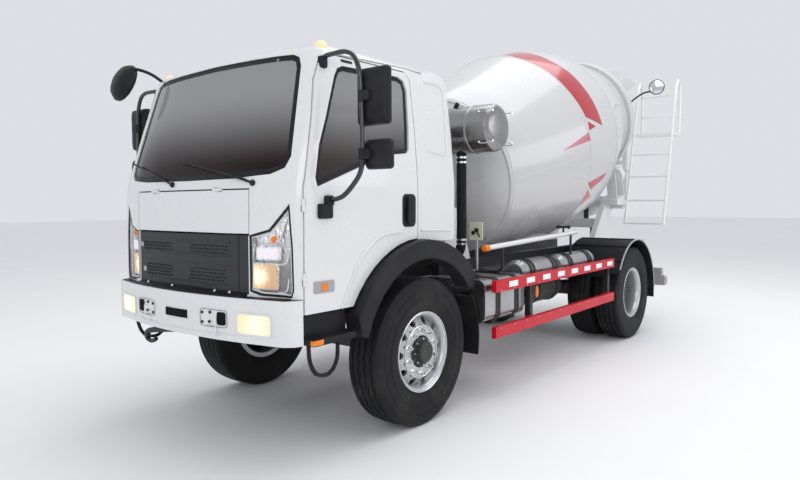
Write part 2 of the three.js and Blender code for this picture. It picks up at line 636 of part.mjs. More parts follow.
// Rim of the front wheel, outer side at larger x, centred on the tyre.
function makeFrontWheel() {
  const { beadRadius, beadHalf } = TYRE;
  const { lipRadius, lipWidth, barrel, hubRadius } = RIM;
  const bore = beadRadius - barrel;
  const seat = beadRadius + RIM.bite;
  const out = beadHalf + RIM.room + lipWidth;
  const rim = turned('x', [
    [0, -RIM.frontPlate], [hubRadius, -RIM.frontPlate], [hubRadius + 4, 62], [188, 62], [bore, 6],
    [bore, -out], [lipRadius, -out], [lipRadius, -out + lipWidth],
    [seat, -out + lipWidth], [seat, out - lipWidth],
    [lipRadius, out - lipWidth], [lipRadius, out], [bore, out], [bore, 34], [192, 84], [hubRadius + 6, 84],
    [hubRadius - 8, 112], [0, 112]], WHEEL_SEGMENTS);
  return rim.add(tyreAt(0));
}

// Twin wheel: both tyres and the two dished rims bolted back to back, centred between the tyres.
function makeRearWheel() {
  const { beadRadius, beadHalf } = TYRE;
  const { lipRadius, lipWidth, barrel, hubRadius } = RIM;
  const bore = beadRadius - barrel;
  const seat = beadRadius + RIM.bite;
  const half = DUAL_SPACING / 2;
  const out = half + beadHalf + RIM.room + lipWidth;
  const profile = [
    [0, -RIM.rearPlate], [bore, -RIM.rearPlate], [bore, -out], [lipRadius, -out],
    [lipRadius, -out + lipWidth],
    [seat, -out + lipWidth], [seat, out - lipWidth], [lipRadius, out - lipWidth],
    [lipRadius, out], [bore, out], [bore, 20], [hubRadius + 30, 12], [hubRadius + 30, 30],
    [hubRadius, 150], [88, 172], [0, 172]];
  return join([turned('x', profile, WHEEL_SEGMENTS), tyreAt(-half), tyreAt(half)]);
}

// ---------------------------------------------------------------- drum and what carries it

const drumFrame = new THREE.Matrix4()
  .makeRotationX(DRUM.tilt * RAD)
  .setPosition(0, DRUM.frontY, DRUM.frontZ);

const tilted = (part) => solid(geometryOf(part).applyMatrix4(drumFrame));

// The drum's outside profile, grown by a gap.
function drumOutside(gap) {
  const { cone, body, ring, ringWidth, mouth } = DRUM_STATIONS;
  return [
    [0, -255], [190, -250], [420, -205], [620, -115], [DRUM.headRadius, 0], [DRUM.bodyRadius, cone],
    [DRUM.bodyRadius, body], [RING_SEAT_RADIUS, ring], [RING_RADIUS, ring], [RING_RADIUS, ring + ringWidth],
    [690, ring + ringWidth], [MOUTH_RADIUS, mouth]].map(([radius, along]) => [radius && radius + gap, along]);
}

function makeDrum() {
  const { cone, body, ring, ringWidth, mouth } = DRUM_STATIONS;
  const wall = DRUM.wall;
  const inside = [
    [MOUTH_RADIUS - wall, mouth], [690 - wall, ring + ringWidth - wall], [RING_SEAT_RADIUS - wall, ring],
    [DRUM.bodyRadius - wall, body], [DRUM.bodyRadius - wall, cone], [DRUM.headRadius - wall, 0],
    [620 - wall, -115 + wall], [420, -205 + wall], [190, -250 + wall], [0, -255 + wall]];
  return tilted(turned('y', [...drumOutside(0), ...inside], DRUM_SEGMENTS));
}

function rollerAt(side) {
  const { radius, length, angle, gap } = ROLLER;
  const reach = RING_RADIUS + radius + gap;
  const start = DRUM_STATIONS.ring + (DRUM_STATIONS.ringWidth - length) / 2;
  const x = side * reach * Math.sin(angle * RAD);
  const z = -reach * Math.cos(angle * RAD);
  const roller = disc('y', radius, start, start + length, 24, [x, 0, z]);
  const pin = disc('y', 30, start - 90, start + length + 70, 10, [x, 0, z]);
  const cheek = (from) => box(x - 62, x + 62, from, from + 22, z - 330, z + 50);
  return tilted(join([roller, pin, cheek(start - 85), cheek(start + length + 40)]));
}

function makeRearPedestal() {
  const { inner, outer, rear } = FRAME;
  const foot = SUBFRAME.top + FIT_GAP;
  const leg = join([
    prism('x', [
      [rear - 530, foot], [rear - 2, foot], [rear + 140, 1560], [rear - 90, 1560]], inner, outer),
    prism('x', [
      [rear - 130, 1500], [rear + 135, 1500], [rear + 150, 1640], [rear - 130, 1575]], inner, REAR_POST.x1),
    box(REAR_POST.x0, REAR_POST.x1, REAR_POST.y0, REAR_POST.y1, REAR_POST.bottom, REAR_POST.top),
    box(outer - 50, REAR_POST.x1, rear + 70, REAR_POST.y1, REAR_POST.bottom, 1560)]);
  const beams = [[-70, -10, 1200, 1320], [30, 120, 1480, 1555]].map(([from, to, ...heights]) => (
    box(-inner - WELD, inner + WELD, rear + from, rear + to, ...heights)));
  const { mouth } = DRUM_STATIONS;
  const drumRoom = tilted(turned('y', [...drumOutside(RUN_GAP), [0, mouth]], DRUM_SEGMENTS));
  return join([leg, mirrored(leg), ...beams]).subtract(drumRoom).add(rollerAt(1)).add(rollerAt(-1));
}

function makeGearbox() {
  const { radius, length, flange, gap } = GEARBOX;
  const end = -255 - gap;
  return tilted(turned('y', [
    [0, end - length - 180], [110, end - length - 180], [120, end - length], [radius, end - length + 20],
    [radius, end - 120], [flange, end - 110], [flange, end - 70], [150, end - 60], [150, end],
    [0, end]], 24));
}

function makeFrontPedestal() {
  const { inner, outer } = FRAME;
  const front = DRUM.frontY;
  const foot = SUBFRAME.top + FIT_GAP;
  const leg = prism('x', [
    [front - 580, foot], [front - 140, foot], [front - 320, 1500], [front - 500, 1500]], inner, outer);
  const shelf = box(-inner - WELD, inner + WELD, front - 500, front - 330, 1410, 1485);
  const cradle = box(-250, 250, front - 500, front - 362, 1480, 1640);
  const gearbox = tilted(disc('y', GEARBOX.radius + FIT_GAP * 2, -800, -200, 48));
  const collar = tilted(disc('y', GEARBOX.flange + FIT_GAP * 2, -255 - GEARBOX.gap - 112, -200, 48));
  return join([leg, mirrored(leg), shelf, cradle]).subtract(gearbox).subtract(collar);
}

// A four-sided tapering body; each row holds half width, front, rear and the two heights.
function fourSided(top, bottom, inset, lift = 0) {
  const ring = ([half, front, rear, zFront, zRear], dz) => [
    [half - inset, front + inset, zFront + dz], [half - inset, rear - inset, zRear + dz],
    [-half + inset, rear - inset, zRear + dz], [-half + inset, front + inset, zFront + dz]];
  return loft([ring(bottom, -lift), ring(top, lift)]);
}

function funnel(top, bottom, wall) {
  return fourSided(top, bottom, 0).subtract(fourSided(top, bottom, wall, 1));
}

function makeHopper() {
  const { half, front, rear, top, rearDrop, wall } = HOPPER;
  const throat = HOPPER_THROAT;
  const rim = [half, front, rear, top, top - rearDrop];
  const neck = [throat.half, throat.front, throat.rear, throat.z, throat.z];
  const { x0, x1, y0, y1 } = REAR_POST;
  const armTop = top - 260;
  const post = box(x0, x1, y0, y1, REAR_POST.top + FIT_GAP, armTop);
  const arm = box(300, x1, y0, y1, armTop - 50, armTop);
  const legs = join([post, arm, mirrored(post), mirrored(arm)]).subtract(fourSided(rim, neck, wall / 2));
  return funnel(rim, neck, wall).add(legs);
}

function makeTrough() {
  const { half, front, rear, frontTop, rearTop, wall, outlet } = TROUGH;
  const [outletHalf, outletFront, outletRear, outletZ] = outlet;
  const rim = [half, front, rear, frontTop, rearTop];
  const mouth = [outletHalf, outletFront, outletRear, outletZ, outletZ];
  const bowl = funnel(rim, mouth, wall);
  const arm = box(330, REAR_POST.x0 - FIT_GAP, REAR_POST.y0, front + 60, frontTop - 85, frontTop - 35);
  const arms = join([arm, mirrored(arm)]).subtract(fourSided(rim, mouth, wall / 2));
  return bowl.add(arms);
}

// ---------------------------------------------------------------- chute

const chuteStow = new THREE.Matrix4()
  .makeRotationZ(CHUTE.stowTurn * RAD)
  .setPosition(0, CHUTE.y, 0);

function makeChuteBracket() {
  const { drop, inner, outer, half } = CHUTE_FORK;
  const low = CHUTE.pivotZ - drop;
  const post = rod([0, 0, CHUTE_MOUNT.top + FIT_GAP], [0, 0, low + 10], 45, 16);
  const plate = box(-outer, outer, -half, half, low, low + 34);
  const cheek = box(inner, outer, -half, half, low, CHUTE.pivotZ + 30);
  const fork = join([post, plate, cheek, mirrored(cheek)]);
  const reach = (CHUTE.pin + FIT_GAP) / Math.cos(Math.PI / PIN_SEGMENTS);
  const holes = disc('x', reach, -outer - CLEAR, outer + CLEAR, PIN_SEGMENTS, [0, 0, CHUTE.pivotZ]);
  return solid(geometryOf(fork.subtract(holes)).applyMatrix4(chuteStow));
}

function makeChute() {
  const { radius, wall, length, slope, pivotZ } = CHUTE;
  const section = [...arc(0, 0, radius, 180, 360, 12), ...arc(0, 0, radius - wall, 360, 180, 12)];
  const gutter = prism('y', section, -150, length);
  const ear = disc('x', CHUTE.pin, radius - WELD, CHUTE_FORK.outer - WELD, PIN_SEGMENTS);
  const geometry = geometryOf(join([gutter, ear, mirrored(ear)]));
  geometry.rotateX(-slope * RAD).translate(0, 0, pivotZ);
  return solid(geometry.applyMatrix4(chuteStow));
}

// ---------------------------------------------------------------- tanks, guards, steps

function makeAirTanks() {
  const { x, z, radius, spans } = AIR_TANK;
  const tanks = spans.map(([from, to]) => turned('y', [
    [0, from], [radius * 0.7, from + 14], [radius, from + 50], [radius, to - 50],
    [radius * 0.7, to - 14], [0, to]], 20, [x, 0, z]));
  const shelf = box(FRAME.outer + FIT_GAP, x, spans[0][0] + 80, spans[1][1] - 80, z - 20, z + 10);
  return join([...tanks, shelf]);
}

function makeMuffler() {
  const { x, z, radius, y0, y1 } = MUFFLER;
  const can = turned('y', [
    [0, y0], [radius - 20, y0], [radius, y0 + 20], [radius, y1 - 20], [radius - 20, y1], [0, y1]],
  24, [x, 0, z]);
  const tab = box(FRAME.outer + FIT_GAP, x, (y0 + y1) / 2 - 30, (y0 + y1) / 2 + 30, z, z + 60);
  return can.add(tab);
}

function makeFuelTank() {
  return roundedBox(TANK.x0, TANK.x1, TANK.y0, TANK.y1, TANK.z0, TANK.z1, TANK.round);
}

function makeBatteryBox() {
  const { x0, x1, y0, y1, z0, z1 } = BATTERY;
  return roundedBox(-x1, -x0, y0, y1, z0, z1, 20);
}

function makeSideGuard() {
  const { x, thick, front, rear, upper, lower } = GUARD;
  const bars = [upper, lower].map(([low, high]) => box(x - thick, x, front, rear, low, high));
  const posts = GUARD.posts.map((y) => join([
    box(x - thick - 45, x - thick + 5, y - 25, y + 25, lower[0] + 20, upper[1] - 20),
    box(FRAME.outer + FIT_GAP, x - thick - 40, y - 22, y + 22, 752, 800)]));
  return join([...bars, ...posts]);
}

function makeFrontMudguard() {
  const { inner, thick, top, bottom, stay } = FRONT_GUARD;
  const upper = Math.max(top, Math.asin((stay[1] - TYRE.radius) / inner) / RAD + 1);
  const flap = [
    ...arc(0, TYRE.radius, inner, upper, bottom, 6),
    ...arc(0, TYRE.radius, inner + thick, bottom, upper, 6)];
  const outline = prism('x', flap, 560, 1000);
  // the stay meets the flap half way up its own height, to the nearest 10 mm
  const rise = (stay[0] + stay[1]) / 2 - TYRE.radius;
  const y = Math.round(Math.sqrt((inner + thick / 2) ** 2 - rise ** 2) / 10) * 10;
  return outline.add(box(FRAME.outer + FIT_GAP, 700, y - 20, y + 20, ...stay));
}

function makeStep() {
  const panel = box(700, 905, -1058, -712, 770, 905);
  const tread = box(660, 990, -1058, -712, 738, 776);
  const loop = bentRod([
    [930, -1045, 740], [930, -1035, 640], [930, -985, 560], [930, -880, 545], [930, -820, 610],
    [930, -808, 740]], 13, 14, 6);
  const stay = box(FRAME.outer + FIT_GAP, 720, -930, -870, 745, 800);
  return join([panel, tread, loop, stay]);
}

function makeRearMudguard() {
  const { inner, thick, x0, x1, flapBottom } = REAR_GUARD;
  const z = TYRE.radius;
  const outer = inner + thick;
  const outline = [
    ...arc(WHEEL_BASE, z, inner, 0, 155, 16),
    ...arc(WHEEL_BASE, z, outer, 155, 0, 16),
    [WHEEL_BASE + outer, flapBottom], [WHEEL_BASE + inner, flapBottom]];
  const shell = prism('x', outline, x0, x1);
  const stays = [WHEEL_BASE - 480, WHEEL_BASE + 380].map((y) => {
    const reach = Math.sqrt(outer ** 2 - (y - WHEEL_BASE) ** 2);
    return box(FRAME.outer + FIT_GAP, x0 + 40, y - 20, y + 20, z + reach - 60, z + reach - 5);
  });
  return join([shell, ...stays]);
}

function makeBumper() {
  const { bottom, top, front, half, sweep, rear, wall } = BUMPER;
  const plan = (inset) => {
    const width = half - inset;
    const edge = width - 130;
    const points = [[width, rear + inset * 3]];
    for (const degrees of [90, 60, 30, 0]) {
      const angle = degrees * RAD;
      points.push([edge + 130 * Math.sin(angle), front + inset + sweep + 110 * (1 - Math.cos(angle))]);
    }
    for (let i = 3; i >= 0; i -= 1) {
      const x = (edge * i) / 4;
      points.push([x, front + inset + sweep * (x / edge) ** 2]);
    }
    const other = points.slice(0, -1).reverse().map(([x, y]) => [-x, y]);
    return [...points, ...other];
  };
  const skin = prism('z', plan(0), bottom, top).subtract(prism('z', plan(wall), bottom - CLEAR, top + CLEAR));
  const stay = box(FRAME.inner, FRAME.outer, BUMPER.front + wall - CLEAR, FRAME.front - FIT_GAP, 770, 880);
  return join([skin, stay, mirrored(stay)]);
}

function makeUnderrun() {
  const { y0, y1, z0, z1, half } = UNDERRUN;
  const bar = box(-half, half, y0, y1, z0, z1);
  const lamp = box(900, 1090, y0, y1 - 10, z1 - 5, 700);
  return join([bar, lamp, mirrored(lamp)]);
}

function makeAirCleaner() {
  const { y, z, radius, x0, x1, pipeX, pipeRadius } = AIR_CLEANER;
  const can = turned('x', [
    [0, x0], [radius - 25, x0], [radius, x0 + 30], [radius, x1 - 60], [radius - 30, x1], [0, x1]],
  28, [0, y, z]);
  const low = SUBFRAME.top + 100;
  const pipe = rod([pipeX, y, low], [pipeX, y, z], pipeRadius, 14);
  const elbow = rod([FRAME.outer - 30, y, low], [pipeX, y, low], pipeRadius, 14);
  const post = box(FRAME.inner + 5, FRAME.outer - 5, y - 15, y + 15, SUBFRAME.top + FIT_GAP, z - 60);
  const arm = box(FRAME.inner + 5, x0 + 60, y - 15, y + 15, z - 90, z - 40);
  return join([can, pipe, elbow, post, arm]);
}

function makeEngine() {
  const { half, front, rear, bottom, top, round } = ENGINE;
  return roundedBox(-half, half, front, rear, bottom, top, round);
}

function makePropshaft() {
  const { frontZ, rearLift, radius } = PROPSHAFT;
  const rear = WHEEL_BASE - BANJO.front;
  const rearZ = TYRE.radius + rearLift;
  // the slanted shaft's square ends stop short of the engine and of the axle, to the nearest 0.1 mm
  const lean = radius * ((frontZ - rearZ) / (rear - ENGINE.rear));
  const front = Math.ceil(10 * (ENGINE.rear + lean + FIT_GAP)) / 10;
  return rod([0, front, frontZ], [0, rear + PROPSHAFT_SEAT, rearZ], radius, 14);
}

// ---------------------------------------------------------------- ladder and platform

function ladderY(z) {
  const { bottomY, bottomZ, topY, topZ } = LADDER;
  return bottomY + ((topY - bottomY) * (z - bottomZ)) / (topZ - bottomZ);
}

function makeLadder() {
  const { x0, x1, bottomZ, topZ, tube } = LADDER;
  const back = ladderY(PLATFORM.z) + PLATFORM.depth;
  const rails = [x0, x1].map((x) => bentRod([
    [x, ladderY(bottomZ), bottomZ], [x, ladderY(2000), 2000], [x, ladderY(topZ - 80), topZ - 80],
    [x, (ladderY(topZ) + back) / 2, topZ + 20], [x, back, topZ - 90], [x, back, PLATFORM.z]],
  tube, 22, 6));
  const rungs = [bottomZ + 12, 1560, 1870, 2160].map((z) => (
    rod([x0, ladderY(z), z], [x1, ladderY(z), z], 13, 6)));
  const bars = [2690, 2960].map((z) => rod([x0, back, z], [x1, back, z], 12, 6));
  const { z: floorZ, thick } = PLATFORM;
  const floor = box(x0, x1, ladderY(floorZ) - 12, back + 12, floorZ - thick, floorZ);
  const stays = [1500, 1950].map((z) => (
    box(REAR_POST.x1 + FIT_GAP, x0, ladderY(z) - 12, ladderY(z) + 12, z - 14, z + 14)));
  return join([...rails, ...rungs, ...bars, floor, ...stays]);
}

// ---------------------------------------------------------------- the whole truck

addPiece(truck, 'frame', makeFrame(), BLACK_STEEL);
addPiece(truck, 'front_bumper', makeBumper(), PAINT_WHITE);
addPiece(truck, 'front_axle', makeFrontAxle(), BLACK_STEEL);
addPiece(truck, 'rear_axle', makeRearAxle(), BLACK_STEEL);
addPiece(truck, 'engine', makeEngine(), BLACK_STEEL);
addPiece(truck, 'propshaft', makePropshaft(), BLACK_STEEL);
addPiece(truck, 'fuel_tank', makeFuelTank(), TANK_METAL);
addPiece(truck, 'air_tanks', makeAirTanks(), TANK_METAL);
addPiece(truck, 'muffler', makeMuffler(), BLACK_STEEL);
addPiece(truck, 'battery_box', makeBatteryBox(), BLACK_PLASTIC);
addPiece(truck, 'air_cleaner', makeAirCleaner(), TANK_METAL);
addPiece(truck, 'rear_underrun', makeUnderrun(), DRUM_GREY);
addPair('cab_step', makeStep(), BLACK_PLASTIC);
addPair('front_mudguard', makeFrontMudguard(), BLACK_PLASTIC);
addPair('rear_mudguard', makeRearMudguard(), BLACK_PLASTIC);
addPair('side_guard', makeSideGuard(), GUARD_RED);

addPiece(truck, 'front_pedestal', makeFrontPedestal(), DRUM_GREY);
addPiece(truck, 'drum_gearbox', makeGearbox(), BLACK_STEEL);
addPiece(truck, 'rear_pedestal', makeRearPedestal(), DRUM_GREY);
addPiece(truck, 'hopper', makeHopper(), DRUM_GREY);
addPiece(truck, 'discharge_trough', makeTrough(), DRUM_GREY);
addPiece(truck, 'ladder', makeLadder(), DRUM_GREY);
addPiece(truck, 'drum', makeDrum(), DRUM_GREY);
addPiece(truck, 'chute_bracket', makeChuteBracket(), DRUM_GREY);
addPiece(truck, 'chute', makeChute(), DRUM_GREY);

addPiece(truck, 'cab_body', makeCabShell(), PAINT_WHITE);
addPiece(truck, 'front_panel', makeFrontPanel(), PAINT_WHITE);
addPiece(truck, 'grille', makeGrille(), TRIM_GREY);
addPair('headlight', makeHeadlight(), LAMP_CLEAR);
addPiece(truck, 'windscreen', makeWindscreen(), GLASS);
addPiece(truck, 'dashboard', makeDashboard(), TRIM_GREY);
addPiece(truck, 'driver_seat', makeSeat(190, 670), CLOTH);
addPiece(truck, 'passenger_seat', makeSeat(-820, 60), CLOTH);
addPiece(truck, 'kerb_mirror', makeKerbMirror(), BLACK_PLASTIC);
addPair('arch_flare', makeFlare(), BLACK_PLASTIC);
addPair('door', makeDoor(), PAINT_WHITE);
addPair('door_glass', makeDoorGlass(), GLASS);
addPair('mirror', makeDoorMirror(), BLACK_PLASTIC);

addPair('knuckle', makeKnuckle(), BLACK_STEEL);

for (const [side, turn] of [['left', 0], ['right', Math.PI]]) {
  const sign = turn === 0 ? 1 : -1;
  const front = addPiece(truck, `front_wheel_${side}`, makeFrontWheel(), RUBBER);
  front.position.set(sign * FRONT_WHEEL_X, 0, TYRE.radius);
  front.rotation.z = turn;
  const rear = addPiece(truck, `rear_wheel_${side}`, makeRearWheel(), RUBBER);
  rear.position.set(sign * (REAR_OUTER_X - DUAL_SPACING / 2), WHEEL_BASE, TYRE.radius);
  rear.rotation.z = turn;
}

const bounds = new THREE.Box3().setFromObject(truck);
truck.position.y = -(bounds.min.y + bounds.max.y) / 2;

export default truck;
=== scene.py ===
# %% [markdown]
# # A concrete mixer truck, piece by piece
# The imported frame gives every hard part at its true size. This lesson adds what the eye expects on
# a real truck: paint, rubber, brushed metal, lamps, rivets, tread, seams and small trim.

# %% Load the frame
import json
import math

import bmesh
import bpy
from mathutils import Matrix, Vector
from mathutils.bvhtree import BVHTree


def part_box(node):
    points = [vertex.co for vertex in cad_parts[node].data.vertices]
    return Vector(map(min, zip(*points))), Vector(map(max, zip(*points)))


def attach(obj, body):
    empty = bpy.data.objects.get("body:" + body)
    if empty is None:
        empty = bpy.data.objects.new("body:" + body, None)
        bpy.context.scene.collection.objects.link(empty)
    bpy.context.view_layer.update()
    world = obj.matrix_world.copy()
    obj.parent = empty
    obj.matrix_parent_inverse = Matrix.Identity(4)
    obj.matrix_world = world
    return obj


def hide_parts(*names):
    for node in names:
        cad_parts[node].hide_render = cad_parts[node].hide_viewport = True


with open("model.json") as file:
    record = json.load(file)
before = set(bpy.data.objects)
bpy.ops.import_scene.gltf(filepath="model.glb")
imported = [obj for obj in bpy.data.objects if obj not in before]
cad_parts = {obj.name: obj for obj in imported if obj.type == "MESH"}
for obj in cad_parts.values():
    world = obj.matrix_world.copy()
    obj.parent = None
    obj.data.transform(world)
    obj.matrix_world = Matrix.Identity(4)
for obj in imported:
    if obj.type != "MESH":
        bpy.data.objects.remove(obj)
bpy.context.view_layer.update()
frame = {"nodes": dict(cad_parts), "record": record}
nodes = frame["nodes"]

wheel_low, wheel_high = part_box("front_wheel_left")
FRONT_Y = (wheel_low.y + wheel_high.y) / 2
AXLE_Z = (wheel_low.z + wheel_high.z) / 2
print("front axle line at y =", round(FRONT_Y, 4), "and its centre at z =", round(AXLE_Z, 4))


def at(x, y, z):
    """A point from distances in metres: left of the middle, behind the front axle, above the ground."""
    return Vector((x, y + FRONT_Y, z))


# %% [markdown]
# ## Writing shader maths as plain expressions
# A finish is a small sum over the place on the surface. Wiring Math nodes one by one hides that sum,
# so one small class wraps a socket and lets Python's own operators add the nodes.

# %% Sockets that do arithmetic
def _maths(operation):
    def forward(self, other):
        return self.shader.maths(operation, self, other)

    def backward(self, other):
        return self.shader.maths(operation, other, self)

    return forward, backward


class Value:
    """A number that comes out of a node."""

    def __init__(self, shader, socket):
        self.shader = shader
        self.socket = socket

    __add__, __radd__ = _maths("ADD")
    __sub__, __rsub__ = _maths("SUBTRACT")
    __mul__, __rmul__ = _maths("MULTIPLY")
    __truediv__, __rtruediv__ = _maths("DIVIDE")
    __lt__, __gt__ = _maths("LESS_THAN")[0], _maths("GREATER_THAN")[0]

    def between(self, low, high):
        return (self > low) * (self < high)

    def sine(self):
        return self.shader.maths("SINE", self, 0.0)


class Shader:
    """A material whose main node is at hand, with short ways to add others."""

    def __init__(self, name, **fixed):
        self.material = bpy.data.materials.new(name)
        self.material.use_nodes = True
        self.tree = self.material.node_tree
        self.surface = self.tree.nodes["Principled BSDF"]
        for key, value in fixed.items():
            self.set(key.replace("_", " "), value)

    def plug(self, target, value):
        if isinstance(value, Value):
            self.tree.links.new(value.socket, target)
        else:
            target.default_value = value

    def node(self, kind, settings=None, inputs=None, output=0):
        """Adds any node: its type, its settings (a ramp's stops among them) and its inputs."""
        made = self.tree.nodes.new(kind)
        for key, value in (settings or {}).items():
            if key == "stops":
                self.set_stops(made.color_ramp, value)
            else:
                setattr(made, key, value)
        for key, value in (inputs or {}).items():
            self.plug(made.inputs[key], value)
        return Value(self, made.outputs[output])

    @staticmethod
    def set_stops(ramp, points):
        """(place, level) pairs, both from 0 to 1, joined by straight lines."""
        ramp.interpolation = "LINEAR"
        while len(ramp.elements) < len(points):
            ramp.elements.new(1.0)
        for element, (where, level) in zip(ramp.elements, points):
            element.position = where
            element.color = grey(level)

    def maths(self, operation, a, b):
        return self.node("ShaderNodeMath", {"operation": operation}, {0: a, 1: b})

    def set(self, socket, value):
        self.plug(self.surface.inputs[socket], value)

    def position(self):
        return self.node("ShaderNodeTexCoord", output=3)

    def stretched(self, scale):
        return self.node("ShaderNodeMapping", {"vector_type": "POINT"}, {0: self.position(), 3: scale})

    def axes(self):
        split = self.node("ShaderNodeSeparateXYZ", None, {0: self.position()})
        return [Value(self, socket) for socket in split.socket.node.outputs]

    def noise(self, size, detail=3.0, stretch=(1, 1, 1)):
        place = self.stretched(stretch)
        return self.node("ShaderNodeTexNoise", {"noise_dimensions": "3D"}, {
            "Vector": place, "Scale": 1.0 / size, "Detail": detail})

    def ramp(self, value, low, high, to_low=0.0, to_high=1.0):
        settings = {"interpolation_type": "SMOOTHSTEP", "clamp": True}
        return self.node("ShaderNodeMapRange", settings, {
            0: value, 1: low, 2: high, 3: to_low, 4: to_high})

    def mix(self, factor, a, b):
        settings = {"data_type": "RGBA", "clamp_factor": True}
        return self.node("ShaderNodeMix", settings, {0: factor, 6: a, 7: b}, output=2)

    def bump(self, height, distance, strength=0.5):
        self.set("Normal", self.node("ShaderNodeBump", None, {
            "Strength": strength, "Distance": distance, "Height": height}))
        return self


def grey(level):
    return (level, level, level, 1.0)


# %% [markdown]
# ## Paint
# Vehicle paint is a smooth colour coat under a clear one. What makes it look real is small: a faint
# orange-peel ripple in the clear coat, uneven gloss, and road dust that gathers low down.

# %% Paints
GROUND_DUST = (0.42, 0.40, 0.37, 1.0)


def painted(name, colour, gloss, dust_height=1.1, dust_amount=0.16, coat=0.7):
    s = Shader(name, Coat_Roughness=0.06, Coat_Weight=coat)
    height = s.axes()[2]
    mottle = s.noise(0.35, 4.0)
    low = s.ramp(height, dust_height, 0.35, 0.0, dust_amount)
    s.set("Base Color", s.mix(low * mottle * 1.6, colour, GROUND_DUST))
    s.set("Roughness", s.ramp(mottle, 0.3, 0.7, gloss, gloss + 0.09) + low * 0.6)
    s.bump(s.noise(0.006, 1.0), 0.0002, 0.06)
    return s.material


WHITE = painted("white_paint", (0.74, 0.745, 0.75, 1), 0.22)
FRAME_BLACK = painted("chassis_black_paint", (0.010, 0.010, 0.011, 1), 0.42, 0.9, 0.07, coat=0.08)
POST_HEIGHTS = (0.592, 0.852)


def guard_paint():
    """Red rails on black posts, told apart by height."""
    s = Shader("guard_paint", Coat_Weight=0.15, Specular_IOR_Level=0.3)
    height, mottle = s.axes()[2], s.noise(0.35, 4.0)
    post = height.between(*POST_HEIGHTS)
    red = s.mix(mottle * 0.5, (0.58, 0.002, 0.016, 1), (0.5, 0.004, 0.016, 1))
    s.set("Base Color", s.mix(post, red, grey(0.012)))
    s.set("Roughness", s.ramp(mottle, 0.3, 0.7, 0.4, 0.5))
    s.bump(s.noise(0.006, 1.0), 0.0002, 0.06)
    return s.material


RED = guard_paint()
GREY_PAINT = painted("grey_paint", (0.33, 0.34, 0.35, 1), 0.35)
STEEL_WHITE = painted("white_frame_paint", (0.8, 0.8, 0.79, 1), 0.32, 1.6, 0.12)

# %% [markdown]
# ## Plastic, rubber and cloth
# Moulded plastic has a fine leather-like grain and a soft shine. Tyre rubber is rougher, browner and
# a little dusty in patches. Seat cloth is a weave: two sets of threads crossing.

# %% Dull black finishes, and a near-black for painted shade
def grained(name, colour, roughness, grain, depth, dust=0.1):
    s = Shader(name, Specular_IOR_Level=0.16)
    fine = s.noise(grain, 2.0)
    wide = s.noise(0.22, 3.0)
    dusty = s.ramp(wide, 0.45, 0.75, 0.0, dust)
    s.set("Base Color", s.mix(dusty, colour, GROUND_DUST))
    s.set("Roughness", s.ramp(wide, 0.3, 0.7, roughness - 0.06, roughness + 0.08))
    s.bump(fine, depth, 0.35)
    return s.material


BLACK_PLASTIC = grained("black_plastic", (0.016, 0.016, 0.018, 1), 0.42, 0.004, 0.0006, 0.03)
GRILLE_PLASTIC = grained("grille_plastic", (0.045, 0.045, 0.048, 1), 0.4, 0.004, 0.0005, 0.02)
RUBBER = grained("black_rubber", (0.013, 0.013, 0.014, 1), 0.6, 0.003, 0.0004, 0.05)
TYRE = grained("tyre_rubber", (0.014, 0.014, 0.015, 1), 0.6, 0.005, 0.0005, 0.05)
# Painted shade: a near-black put in holes and recesses, where only shade shows.
HOLLOW_SHADE = grained("painted_hollow_shade", (0.004, 0.004, 0.004, 1), 0.8, 0.01, 0.0004, 0.0)


def woven(name, light, dark, pitch):
    s = Shader(name, Roughness=0.9, Specular_IOR_Level=0.2)
    x, y, z = s.axes()
    turn = 2 * math.pi / pitch
    threads = (x * turn).sine() * ((y + z) * turn).sine()
    wide = s.noise(0.09, 2.0)
    s.set("Base Color", s.mix(threads * 0.35 + wide * 0.5 + 0.1, dark, light))
    s.bump(threads, pitch * 0.3, 0.4)
    return s.material


CLOTH = woven("seat_cloth", (0.09, 0.09, 0.1, 1), (0.03, 0.03, 0.033, 1), 0.004)

# %% [markdown]
# ## Bare and bright metal
# Brushed aluminium is scratched one way only, so its roughness and its bump come from noise that is
# stretched along the brushing. Chrome and silver wheel paint are smoother.

# %% Metals
def brushed(name, colour, stretch, roughness=0.28, metallic=1.0, grit=0.004):
    s = Shader(name, Metallic=metallic)
    lines = s.noise(grit, 2.0, stretch)
    cloud = s.noise(0.16, 3.0)
    dull = tuple(c * 0.72 for c in colour[:3]) + (1.0,)
    s.set("Base Color", s.mix(cloud * 0.7 + lines * 0.3, colour, dull))
    s.set("Roughness", s.ramp(lines * 0.5 + cloud * 0.5, 0.3, 0.7, roughness - 0.07, roughness + 0.12))
    s.bump(lines, 0.0005, 0.12)
    return s.material


ALUMINIUM = brushed("brushed_aluminium", (0.52, 0.52, 0.53, 1), (0.06, 1, 0.06))
CAN_STEEL = brushed("brushed_can", (0.36, 0.355, 0.35, 1), (1, 0.08, 0.08), 0.26)
RIM_SILVER = brushed("silver_wheel_paint", (0.62, 0.63, 0.64, 1), (1, 1, 1), 0.33, 0.8, 0.002)
CHROME = brushed("chrome", (0.86, 0.87, 0.88, 1), (1, 1, 1), 0.12, 1.0, 0.05)
GALVANISED = brushed("bright_steel", (0.6, 0.61, 0.62, 1), (1, 1, 1), 0.34, 0.9, 0.02)
